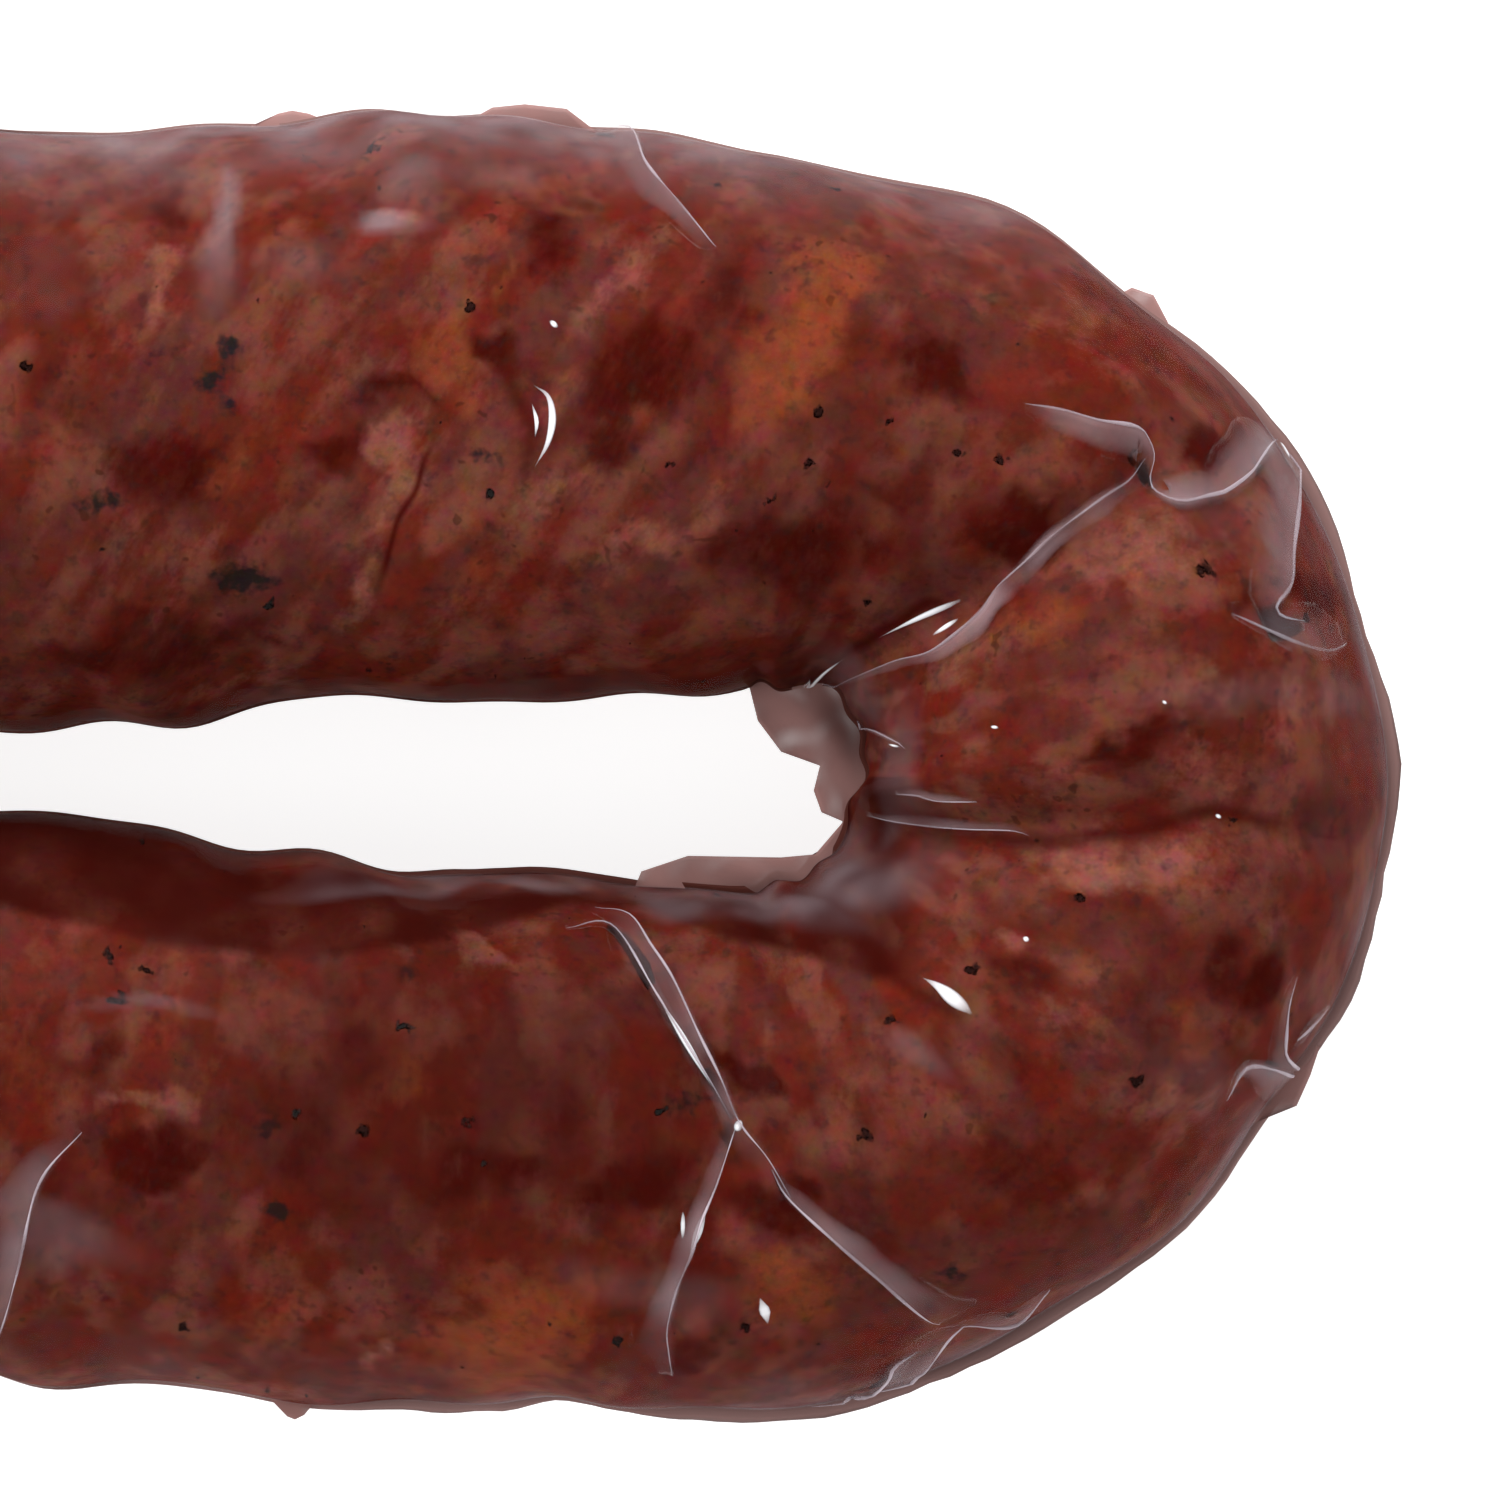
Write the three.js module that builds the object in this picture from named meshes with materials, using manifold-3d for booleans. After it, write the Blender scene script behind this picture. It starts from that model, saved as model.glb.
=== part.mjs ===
import * as THREE from 'three';
import { mergeVertices } from 'three/addons/utils/BufferGeometryUtils.js';
import Module from 'manifold-3d';

// A rope of coarse smoked sausage, bent double into a horseshoe and shrunk tight in clear film.
// Millimetres, +Z up. Seen from above the bend points along +X and the two arms run back along -X.
// A place on the rope is given by "along", the distance from the tip of the bend down the centre
// line (positive on the upper arm, which lies towards +Y), and "round", the angle about the centre
// line (0 on the outer flank, 90 degrees on top, 180 on the inner flank, 270 underneath).
// A place in plan is measured from the centre of the bend.

// Driving dimensions
const bendRadius = 23.5; // of the centre line
const bendHalfWidth = 16.5;
const halfHeight = 17.2;
const midHeight = 16; // of the centre line above the table: the underside is pressed flat
const squareness = 2.2; // of the section, where 2 is an ellipse
const upperArm = { side: 1, meatEnd: 158, halfWidth: 18.8, toeIn: 3.7, toeFrom: 25, toeTo: 85 };
const lowerArm = { side: -1, meatEnd: 150, halfWidth: 17.5, toeIn: 4.7, toeFrom: 15, toeTo: 70 };
const widening = { from: 29, to: 48 }; // along, where the bend's width grows to the arm's

// The closed ends: a dome, then the gathered stub of casing
const domeLength = 19;
const stub = { length: 8, neckRadius: 2.1, tipRadius: 3, height: 9 };
const pleats = { count: 8, depth: 0.9, shareOnStub: 0.3 };

// The film: its trimmed rim at mid height, the flat bits of film on it, and its pinched folds
const rim = { outer: 0.9, inner: 0.5, rootAngle: 4 };
const flatFilm = { bottom: 15.6, thickness: 0.8 };
const fold = { sink: 0.7, spacing: 2, tipScale: 0.15 };

// Mesh density
const sidesRound = 28;
const bendStep = 2.2;
const nearStep = 3.6;
const farStep = 5.6;
const nearArm = 50; // length of arm, from the bend, that gets the near step
const domeRings = 8;

// Uneven filling: long waves round and along the rope, from coarse to fine
const waveCount = 7;
const longestWave = 46;
const waveShrink = 0.76;
const highestWave = 0.42;
const waveFade = 0.82;
const waveTurns = [1, 2, 1, 3, 2, 4, 3];
const goldenAngle = 2.4;

// Single swellings (rise above 0) and hollows: where, how far they reach, and how much
const swellings = [
  { along: -1, round: 0, reach: 9, rise: 1.1 },
  { along: 9, round: 0, reach: 7, rise: -0.6 },
  { along: -28, round: 0, reach: 8, rise: 1.3 },
  { along: 20, round: 0, reach: 8, rise: -0.5 },
  { along: -22, round: 0, reach: 8, rise: -0.6 },
  { along: -3, round: 180, reach: 6, rise: -0.9 },
  { along: 40, round: 0, reach: 12, rise: -0.9 },
  { along: 64, round: 0, reach: 13, rise: -0.9 },
  { along: -37, round: 0, reach: 12, rise: -1 },
  { along: -76, round: 0, reach: 16, rise: -0.9 },
  { along: -50, round: 180, reach: 12, rise: -1 },
  { along: 8, round: 80, reach: 11, rise: 0.7 },
  { along: -17, round: 75, reach: 11, rise: 0.6 },
  { along: 58, round: 95, reach: 5, rise: -1 },
  { along: 64, round: 60, reach: 9, rise: 0.8 },
  { along: -60, round: 110, reach: 10, rise: 0.5 },
  { along: 95, round: 80, reach: 10, rise: -0.6 },
  { along: 128, round: 70, reach: 14, rise: 0.9 },
  { along: -110, round: 90, reach: 12, rise: -0.7 },
  { along: -135, round: 60, reach: 12, rise: 0.8 },
];

// Valleys pressed into the upper face where the bend has buckled, in plan
const valleys = [
  { route: [[3, 5], [9, 8.5], [16, 12.5], [26, 19.5]], depth: 1.7, reach: 2.2 },
  { route: [[6, -3], [17, -3.8], [30, -2.8], [42, -4.5]], depth: 1.3, reach: 1.9 },
  { route: [[-10, -9], [-4, -16], [0, -23], [9, -33]], depth: 1, reach: 2.4 },
  { route: [[0, -23], [-4, -31], [-6, -38]], depth: 0.7, reach: 2 },
  { route: [[26, 19.5], [30, 18], [33, 24]], depth: 0.8, reach: 2 },
];

// Pinched folds of film that stand up from the upper face, in plan
const folds = [
  {
    route: [[33, 24], [32.5, 21], [30.5, 18.5], [26.5, 18.5], [24.5, 22], [18.5, 24]],
    halfWidth: 0.7,
    height: 0.7,
  },
  { route: [[25.5, 19.5], [19, 15], [13.5, 10.5], [6.5, 6.5], [3, 5]], halfWidth: 0.6, height: 0.7 },
  { route: [[34, 21.5], [35, 18], [34.5, 12], [35.5, 9.5], [38, 8.5]], halfWidth: 1, height: 0.7 },
  { route: [[8, -3], [13, -3.5], [20, -4], [27, -3]], halfWidth: 0.5, height: 0.6 },
  {
    route: [[-12, -9.2], [-8, -10], [-4.5, -16], [-0.5, -23], [4.5, -29], [11.5, -35]],
    halfWidth: 0.9,
    height: 0.8,
  },
  { route: [[-0.5, -22.5], [-2.5, -27.5], [-5, -33], [-6, -38]], halfWidth: 0.7, height: 0.7 },
  { route: [[8, -39], [12.5, -37], [15, -35.2], [19.5, -32.5]], halfWidth: 0.6, height: 0.6 },
  { route: [[35, -13.5], [34, -17], [35.5, -19.2]], halfWidth: 0.5, height: 0.6 },
  { route: [[31, -21], [32.5, -18.6], [35.5, -19.8]], halfWidth: 0.5, height: 0.6 },
  { route: [[-8.5, 41], [-7, 39.5], [-5, 37], [-2.5, 34]], halfWidth: 0.9, height: 0.7 },
  { route: [[-48.5, -34.5], [-46.5, -29], [-42, -24]], halfWidth: 1, height: 0.7 },
  { route: [[-33, 39], [-34.5, 34.5], [-35, 31.5]], halfWidth: 1, height: 0.5 },
  { route: [[-38.5, -13], [-39.5, -17], [-37.5, -24]], halfWidth: 0.8, height: 0.5 },
  { route: [[-80, 30], [-84, 24], [-83, 16], [-88, 10]], halfWidth: 0.8, height: 0.7 },
  { route: [[-84, 24], [-92, 22], [-98, 26]], halfWidth: 0.6, height: 0.6 },
  { route: [[-118, 34], [-124, 26], [-132, 24], [-138, 16]], halfWidth: 0.8, height: 0.7 },
  { route: [[-76, -30], [-82, -22], [-80, -14], [-84, -7]], halfWidth: 0.8, height: 0.7 },
  { route: [[-104, -8], [-110, -16], [-108, -26], [-116, -32]], halfWidth: 0.8, height: 0.7 },
  { route: [[-110, -16], [-120, -18], [-130, -12]], halfWidth: 0.6, height: 0.6 },
];

// The web of film in the crook: its ragged free edge, then the part that is hidden in the meat
const webOutline = [
  [0, 5.5], [0.5, 3.5], [2, 1.5], [4.5, 0.6], [4.1, -1], [4.6, -2.4], [6, -3], [4.2, -5.1], [2, -5.3],
  [-4, -5.2], [-7, -6.2], [-7, -10], [5, -13], [14, -8], [15, 2], [9, 11], [0, 10],
];

// Corners and nicks of film that stick out past the rim
const tabs = [
  [[24, 28], [25.9, 31.4], [28, 28]],
  [[33, -15], [36.4, -18], [37.2, -20.3], [33, -21]],
  [[-33, -38], [-30.6, -40.8], [-29.2, -41.9], [-28, -40.4], [-26, -38]],
  [[-32, 40], [-29, 43.6], [-26, 40]],
  [[-18, 41], [-16, 44], [-14, 41]],
];

const halfArc = (bendRadius * Math.PI) / 2;
const degree = Math.PI / 180;
const ramp = (x, from, to) => THREE.MathUtils.smoothstep(x, from, to);
const armAt = (along) => (along >= 0 ? upperArm : lowerArm);

// The centre line in plan, and the direction across it that points away from the other arm.
function centreLine(along) {
  if (Math.abs(along) <= halfArc) {
    const turn = along / bendRadius;
    const outward = new THREE.Vector2(Math.cos(turn), Math.sin(turn));
    return { centre: outward.clone().multiplyScalar(bendRadius), outward };
  }
  const { side, toeIn, toeFrom, toeTo } = armAt(along);
  const back = Math.abs(along) - halfArc;
  const offset = (b) => bendRadius - toeIn * ramp(b, toeFrom, toeTo);
  const slope = offset(back + 0.5) - offset(back - 0.5);
  return {
    centre: new THREE.Vector2(-back, side * offset(back)),
    outward: new THREE.Vector2(slope, side).normalize(),
  };
}

// Half the width and height of the section, the height of its middle, and how far the end has closed.
function girth(along) {
  const arm = armAt(along);
  const widen = ramp(Math.abs(along), widening.from, widening.to);
  const fullWidth = THREE.MathUtils.lerp(bendHalfWidth, arm.halfWidth, widen);
  const left = arm.meatEnd + halfArc - Math.abs(along); // meat left before the end
  const dome = left > 0 ? Math.sqrt(1 - (1 - Math.min(1, left / domeLength)) ** 2) : 0;
  const share = THREE.MathUtils.clamp(-left / stub.length, 0, 1);
  const stubRadius = THREE.MathUtils.lerp(stub.neckRadius, stub.tipRadius, share);
  return {
    width: Math.max(dome * fullWidth, stubRadius),
    height: Math.max(dome * halfHeight, stubRadius),
    middle: THREE.MathUtils.lerp(stub.height, midHeight, dome),
    closed: 1 - dome,
  };
}

// How far the surface stands above or below the plain section.
function relief(along, round) {
  let rise = 0;
  for (let k = 0; k < waveCount; k++) {
    const wave = (2 * Math.PI * along) / (longestWave * waveShrink ** k);
    rise += highestWave * waveFade ** k * Math.sin(wave + waveTurns[k] * round + goldenAngle * k);
  }
  for (const s of swellings) {
    const across = bendHalfWidth * 2 * Math.sin((round - s.round * degree) / 2);
    rise += s.rise * Math.exp(-((along - s.along) ** 2 + across ** 2) / s.reach ** 2);
  }
  return rise;
}

function distanceToRoute(x, y, route) {
  const place = new THREE.Vector3(x, y, 0);
  const nearest = new THREE.Vector3();
  let least = Infinity;
  for (let i = 1; i < route.length; i++) {
    const stretch = new THREE.Line3(
      new THREE.Vector3(...route[i - 1], 0),
      new THREE.Vector3(...route[i], 0),
    );
    stretch.closestPointToPoint(place, true, nearest);
    least = Math.min(least, nearest.distanceTo(place));
  }
  return least;
}

function valleyDepth(x, y) {
  let depth = 0;
  for (const v of valleys) {
    depth = Math.max(depth, v.depth * Math.exp(-((distanceToRoute(x, y, v.route) / v.reach) ** 2)));
  }
  return depth;
}

// A signed power that turns a sine or cosine into a side of the section.
const bulge = (value) => Math.sign(value) * Math.abs(value) ** (2 / squareness);

// The point of the surface at a place on the rope, moved out sideways by "proud".
function surfacePoint(along, round, proud = 0) {
  const { centre, outward } = centreLine(along);
  const size = girth(along);
  const open = 1 - size.closed;
  const pleatDepth = pleats.depth * size.closed * (open + pleats.shareOnStub);
  const gather = pleatDepth * Math.cos(pleats.count * round);
  let rise = relief(along, round) * Math.min(1, 2 * open) + gather;
  const upward = Math.max(0, Math.sin(round));
  if (upward > 0) {
    const reach = (size.width + rise) * bulge(Math.cos(round));
    rise -= upward * valleyDepth(centre.x + outward.x * reach, centre.y + outward.y * reach);
  }
  const out = (size.width + rise) * bulge(Math.cos(round)) + proud;
  const up = (size.height + rise) * bulge(Math.sin(round));
  return new THREE.Vector3(
    centre.x + outward.x * out,
    centre.y + outward.y * out,
    Math.max(0, size.middle + up),
  );
}

// Steps along and round that the surface's slope is read over, and how near the flank plan places reach
const probe = { along: 0.5, round: 0.03 };
const flankLimit = 0.995;

// The point of the upper face over a place in plan, and the outward normal there.
function upperFace(x, y) {
  const back = -x;
  let along;
  let out;
  if (back <= 0) {
    along = bendRadius * Math.atan2(y, x);
    out = Math.hypot(x, y) - bendRadius;
  } else {
    along = Math.sign(y) * (halfArc + back);
    out = Math.abs(y) - Math.abs(centreLine(along).centre.y);
  }
  const share = THREE.MathUtils.clamp(out / girth(along).width, -flankLimit, flankLimit);
  const round = Math.acos(Math.sign(share) * Math.abs(share) ** (squareness / 2));
  const point = surfacePoint(along, round);
  const alongWay = surfacePoint(along + probe.along, round).sub(point);
  const roundWay = surfacePoint(along, round + probe.round).sub(point);
  const normal = roundWay.cross(alongWay).normalize();
  return { point, normal: normal.z < 0 ? normal.negate() : normal };
}

// Joins closed rings of points, and closes each end on a point.
function loft(rings, firstPole, lastPole) {
  const count = rings[0].length;
  const points = [firstPole, ...rings.flat(), lastPole];
  const last = points.length - 1;
  const faces = [];
  const at = (ring, i) => 1 + ring * count + (i % count);
  for (let i = 0; i < count; i++) {
    faces.push(0, at(0, i + 1), at(0, i));
    faces.push(last, at(rings.length - 1, i), at(rings.length - 1, i + 1));
  }
  for (let ring = 1; ring < rings.length; ring++) {
    for (let i = 0; i < count; i++) {
      faces.push(at(ring - 1, i), at(ring - 1, i + 1), at(ring, i + 1));
      faces.push(at(ring - 1, i), at(ring, i + 1), at(ring, i));
    }
  }
  const geometry = new THREE.BufferGeometry().setFromPoints(points);
  geometry.setIndex(faces);
  return geometry;
}

// Where the sections stand on one arm, from the tip of the bend to the end of its stub.
function stationsOf(arm) {
  const end = halfArc + arm.meatEnd;
  const stations = [];
  const domeStart = end - domeLength;
  let along = 0;
  while (along < domeStart - farStep / 2) {
    stations.push(along);
    const inBend = along < halfArc + bendStep;
    along += inBend ? bendStep : along < halfArc + nearArm ? nearStep : farStep;
  }
  for (let i = 0; i <= domeRings; i++) {
    stations.push(domeStart + domeLength * Math.sin((i / domeRings) * (Math.PI / 2)));
  }
  stations.push(end + stub.length / 2, end + stub.length);
  return stations.map((distance) => distance * arm.side);
}

function ropeGeometry() {
  const root = rim.rootAngle * degree;
  const places = [];
  for (let i = 0; i < sidesRound; i++) {
    const round = (i / sidesRound) * 2 * Math.PI;
    const rimWidth = i === 0 ? rim.outer : i === sidesRound / 2 ? rim.inner : 0;
    if (rimWidth === 0) places.push([round, 0]);
    else places.push([round - root, 0], [round, i === 0 ? rimWidth : -rimWidth], [round + root, 0]);
  }
  const stations = [...stationsOf(upperArm).reverse(), ...stationsOf(lowerArm).slice(1)];
  const rings = stations.map((along) => {
    const open = 1 - girth(along).closed;
    return places.map(([round, proud]) => surfacePoint(along, round, proud * open));
  });
  const middleOf = (ring) =>
    ring.reduce((sum, p) => sum.add(p), new THREE.Vector3()).divideScalar(ring.length);
  return loft(rings, middleOf(rings[0]), middleOf(rings[rings.length - 1]));
}

// A fold's section as shares of its half width and height: one side is steeper, and the foot is sunk.
const foldSection = [[1, -1], [0.7, 0.45], [0.1, 1], [-0.7, 0.5], [-1, -1]];

// A fold: a low ridge that follows its route over the upper face and thins out at both ends.
function foldGeometry({ route, halfWidth, height }) {
  const path = new THREE.CatmullRomCurve3(route.map(([x, y]) => new THREE.Vector3(x, y, 0)));
  const steps = Math.max(4, Math.round(path.getLength() / fold.spacing));
  const spine = path.getSpacedPoints(steps).map((p) => upperFace(p.x, p.y));
  const rings = spine.map(({ point, normal }, i) => {
    const ahead = spine[Math.min(steps, i + 1)].point;
    const behind = spine[Math.max(0, i - 1)].point;
    const across = normal.clone().cross(ahead.clone().sub(behind)).normalize();
    const taper = Math.max(fold.tipScale, Math.sin((i / steps) * Math.PI) ** 0.5);
    return foldSection.map(([side, up]) =>
      point
        .clone()
        .addScaledVector(across, side * halfWidth * taper)
        .addScaledVector(normal, up > 0 ? up * height * taper : up * fold.sink),
    );
  });
  const pole = (i) => spine[i].point.clone().addScaledVector(spine[i].normal, -fold.sink / 2);
  return loft(rings, pole(0), pole(steps));
}

function flatFilmGeometry(outline) {
  const shape = new THREE.Shape(outline.map(([x, y]) => new THREE.Vector2(x, y)));
  const slab = new THREE.ExtrudeGeometry(shape, { depth: flatFilm.thickness, bevelEnabled: false });
  return slab.translate(0, 0, flatFilm.bottom);
}

const wasm = await Module();
wasm.setup();

function solidOf(geometry) {
  geometry.deleteAttribute('normal');
  geometry.deleteAttribute('uv');
  const merged = mergeVertices(geometry, 1e-3);
  const mesh = new wasm.Mesh({
    numProp: 3,
    vertProperties: merged.attributes.position.array,
    triVerts: new Uint32Array(merged.index.array),
  });
  return new wasm.Manifold(mesh);
}

function geometryOf(solid) {
  const mesh = solid.getMesh();
  const geometry = new THREE.BufferGeometry();
  geometry.setAttribute('position', new THREE.BufferAttribute(mesh.vertProperties, 3));
  geometry.setIndex(new THREE.BufferAttribute(mesh.triVerts, 1));
  geometry.computeVertexNormals();
  return geometry;
}

function wrappedRope() {
  const pieces = [...[webOutline, ...tabs].map(flatFilmGeometry), ...folds.map(foldGeometry)];
  return geometryOf(pieces.reduce((sum, piece) => sum.add(solidOf(piece)), solidOf(ropeGeometry())));
}

const meatAndFilm = new THREE.MeshStandardMaterial({
  name: 'smoked_meat_in_film',
  color: 0x66302a,
  roughness: 0.3,
  metalness: 0,
});

const rope = new THREE.Mesh(wrappedRope(), meatAndFilm);
rope.name = 'sausage_rope';

// The origin goes under the middle of the box.
rope.geometry.computeBoundingBox();
const box = rope.geometry.boundingBox;
rope.position.set(-(box.min.x + box.max.x) / 2, -(box.min.y + box.max.y) / 2, -box.min.z);

const group = new THREE.Group();
group.add(rope);

export default group;
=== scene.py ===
import math

import bpy
import numpy as np
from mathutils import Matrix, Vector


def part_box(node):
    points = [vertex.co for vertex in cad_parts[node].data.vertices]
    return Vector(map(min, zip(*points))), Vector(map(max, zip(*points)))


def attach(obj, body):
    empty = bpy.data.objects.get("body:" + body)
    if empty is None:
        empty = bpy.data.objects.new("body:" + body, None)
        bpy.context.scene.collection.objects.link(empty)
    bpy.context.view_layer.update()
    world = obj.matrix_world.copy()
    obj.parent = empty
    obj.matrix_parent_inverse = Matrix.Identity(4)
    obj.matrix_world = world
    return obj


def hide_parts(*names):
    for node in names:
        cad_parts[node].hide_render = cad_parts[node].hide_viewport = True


# A rope of coarse smoked sausage, bent double and shrunk tight in clear film.
# Shapes are worked out in millimetres in plan from the centre of the bend, heights from the table.
# A place on the rope is "along", the way from the tip of the bend down the centre line, positive on
# the upper arm, and "turn", the angle round it: 0 outer flank, quarter turn on top, half inner flank.

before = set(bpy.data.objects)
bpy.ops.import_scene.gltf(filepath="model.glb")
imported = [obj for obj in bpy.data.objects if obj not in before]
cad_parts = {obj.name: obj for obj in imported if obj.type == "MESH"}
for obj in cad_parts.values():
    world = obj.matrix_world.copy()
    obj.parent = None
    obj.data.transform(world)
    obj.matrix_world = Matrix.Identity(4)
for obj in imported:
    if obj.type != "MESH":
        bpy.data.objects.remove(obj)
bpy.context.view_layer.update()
ropeLow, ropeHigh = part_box("sausage_rope")
print("frame loaded")

mm = 0.001
farthestBack = 166  # the upper stub's end, behind the centre of the bend
farthestUp = 44  # the highest film tab
planCentre = np.array([ropeLow.x / mm + farthestBack, ropeHigh.y / mm - farthestUp, 0])

ropeForm = {
    "bendRadius": 23.5,
    "bendHalfWidth": 16.5,
    "halfHeight": 17.2,
    "midHeight": 16,
    "squareness": 2.2,
    "upperArm": {"meatEnd": 158, "halfWidth": 18.8, "toeIn": 3.7, "toeFrom": 25, "toeTo": 85},
    "lowerArm": {"meatEnd": 150, "halfWidth": 17.5, "toeIn": 4.7, "toeFrom": 15, "toeTo": 70},
    "widenFrom": 29,
    "widenTo": 48,
    "domeLength": 19,
    "stubLength": 8,
    "neckRadius": 2.1,
    "tipRadius": 3,
    "stubHeight": 9,
    "pleatCount": 8,
    "pleatDepth": 0.9,
    "pleatShareOnStub": 0.3,
    "meanRadius": 17,  # for laying things off round the rope
    "flankLimit": 0.998,  # how near its half width a place in plan is still looked up
    "probe": (0.4, 0.025),  # steps along and round that the slope is read over
}

# Uneven filling: long waves round and along the rope, then single swellings and hollows
filling = {
    "longestWave": 46,
    "waveShrink": 0.76,
    "highestWave": 0.42,
    "waveFade": 0.82,
    "waveTurns": [1, 2, 1, 3, 2, 4, 3],
    "goldenAngle": 2.4,
    "swellings": [  # along, degrees round, reach, rise
        (-1, 0, 9, 1.1), (9, 0, 7, -0.6), (-28, 0, 8, 1.3), (20, 0, 8, -0.5), (-22, 0, 8, -0.6),
        (-3, 180, 6, -0.9), (40, 0, 12, -0.9), (64, 0, 13, -0.9), (-37, 0, 12, -1), (-76, 0, 16, -0.9),
        (-50, 180, 12, -1), (8, 80, 11, 0.7), (-17, 75, 11, 0.6), (58, 95, 5, -1), (64, 60, 9, 0.8),
        (-60, 110, 10, 0.5), (95, 80, 10, -0.6), (128, 70, 14, 0.9), (-110, 90, 12, -0.7),
        (-135, 60, 12, 0.8), (52, 4, 7, 1.2), (12, 0, 5, 0.6), (30, 0, 6, 0.5), (82, 0, 9, 1.2),
        (-84, 0, 10, 1.1), (-60, 0, 8, 0.9), (82, 180, 8, 0.7), (42, 180, 8, 0.3), (-84, 180, 9, 1),
        (-56, 180, 6, 0.3),
    ],
    "valleys": [  # route in plan, depth, reach
        ([(3, 5), (9, 8.5), (16, 12.5), (26, 19.5)], 1.7, 2.2),
        ([(6, -3), (17, -3.8), (30, -2.8), (42, -4.5)], 1.3, 1.9),
        ([(-10, -9), (-4, -16), (0, -23), (9, -33)], 1, 2.4),
        ([(0, -23), (-4, -31), (-6, -38)], 0.7, 2),
        ([(26, 19.5), (30, 18), (33, 24)], 0.8, 2),
    ],
    "lumps": [(7, 0.17), (3.6, 0.07)],  # coarse mince under the film: wavelength, height
    "sunk": 0.22,  # so much the lumps lie below the plain surface
    "highestLump": 0.12,
}

# Camera: straight down over the bend, as the photograph was taken
view = {"x": 0, "y": 2.0, "focusHeight": 16, "distance": 1200, "frameWidth": 96.6, "sensor": 36,
        "clipEnd": 20}

halfArc = ropeForm["bendRadius"] * math.pi / 2
armLength = {side: halfArc + ropeForm[side]["meatEnd"] for side in ("upperArm", "lowerArm")}


# A smooth step from 0 to 1: share squared times three minus twice the share.
def ramp(value, start, end):
    share = np.clip((value - start) / (end - start), 0, 1)
    return share * share * (3 - 2 * share)


def armValue(along, name):
    return np.where(along >= 0, ropeForm["upperArm"][name], ropeForm["lowerArm"][name])


def turned(x, y, degrees):  # a place in plan turned about the origin
    c, s = math.cos(math.radians(degrees)), math.sin(math.radians(degrees))
    return x * c - y * s, x * s + y * c


def taperOf(share, tip):  # the square root of half a sine wave: full in the middle, thin at both ends
    return np.sqrt(np.sin(math.pi * np.clip(share, tip, 1 - tip)))


def anglesRound(count):  # even angles round a small section, as a row
    return np.linspace(0, 2 * math.pi, count, endpoint=False)[None, :]


# The centre line: half a circle round the bend, then two arms that draw together by a smooth step.
# Gives its place in plan and the direction across it that points away from the other arm.
def centreLine(along):
    radius = ropeForm["bendRadius"]
    angle = np.clip(along, -halfArc, halfArc) / radius
    back = np.maximum(np.abs(along) - halfArc, 0)
    side = np.where(along >= 0, 1.0, -1.0)
    toeFrom, toeTo = armValue(along, "toeFrom"), armValue(along, "toeTo")

    def offset(distance):
        return radius - armValue(along, "toeIn") * ramp(distance, toeFrom, toeTo)

    slope = offset(back + 0.5) - offset(back - 0.5)
    length = np.hypot(slope, 1)
    inBend = back <= 0
    centreX = np.where(inBend, radius * np.cos(angle), -back)
    centreY = np.where(inBend, radius * np.sin(angle), side * offset(back))
    outX = np.where(inBend, np.cos(angle), slope / length)
    outY = np.where(inBend, np.sin(angle), side / length)
    return centreX, centreY, outX, outY


# Half width and half height of the section, its middle's height, and how far the end has closed:
# a quarter ellipse over the dome, then the gathered stub.
def girth(along):
    widen = ramp(np.abs(along), ropeForm["widenFrom"], ropeForm["widenTo"])
    bendHalf = ropeForm["bendHalfWidth"]
    fullWidth = bendHalf + (armValue(along, "halfWidth") - bendHalf) * widen
    left = armValue(along, "meatEnd") + halfArc - np.abs(along)
    domeShare = np.clip(left / ropeForm["domeLength"], 0, 1)
    dome = np.sqrt(1 - (1 - domeShare) ** 2)
    stubShare = np.clip(-left / ropeForm["stubLength"], 0, 1)
    stubRadius = ropeForm["neckRadius"] + (ropeForm["tipRadius"] - ropeForm["neckRadius"]) * stubShare
    width = np.maximum(dome * fullWidth, stubRadius)
    height = np.maximum(dome * ropeForm["halfHeight"], stubRadius)
    middle = ropeForm["stubHeight"] + (ropeForm["midHeight"] - ropeForm["stubHeight"]) * dome
    return width, height, middle, 1 - dome


# Relief: sines of along and turn, each wave shorter and lower than the last, plus bell-shaped
# swellings.
def relief(along, turn):
    rise = np.zeros(np.broadcast(along, turn).shape)
    for k, turns in enumerate(filling["waveTurns"]):
        wave = 2 * math.pi * along / (filling["longestWave"] * filling["waveShrink"] ** k)
        height = filling["highestWave"] * filling["waveFade"] ** k
        rise = rise + height * np.sin(wave + turns * turn + filling["goldenAngle"] * k)
    for place, degrees, reach, height in filling["swellings"]:
        across = 2 * ropeForm["bendHalfWidth"] * np.sin((turn - math.radians(degrees)) / 2)
        rise = rise + height * np.exp(-((along - place) ** 2 + across**2) / reach**2)
    return rise


# Distance in plan to the nearest stretch of a route, more than 0 on its left and less on its right.
def besideLine(x, y, route):
    least = np.full(np.shape(x), 1e9)
    for (x0, y0), (x1, y1) in zip(route[:-1], route[1:]):
        wayX, wayY = x1 - x0, y1 - y0
        share = np.clip(((x - x0) * wayX + (y - y0) * wayY) / (wayX**2 + wayY**2), 0, 1)
        away = np.hypot(x - x0 - share * wayX, y - y0 - share * wayY)
        away = np.where(wayX * (y - y0) - wayY * (x - x0) < 0, -away, away)
        least = np.where(np.abs(away) < np.abs(least), away, least)
    return least


def valleyDepth(x, y):
    depth = np.zeros(np.shape(x))
    for route, deepest, reach in filling["valleys"]:
        depth = np.maximum(depth, deepest * np.exp(-((besideLine(x, y, route) / reach) ** 2)))
    return depth


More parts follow.
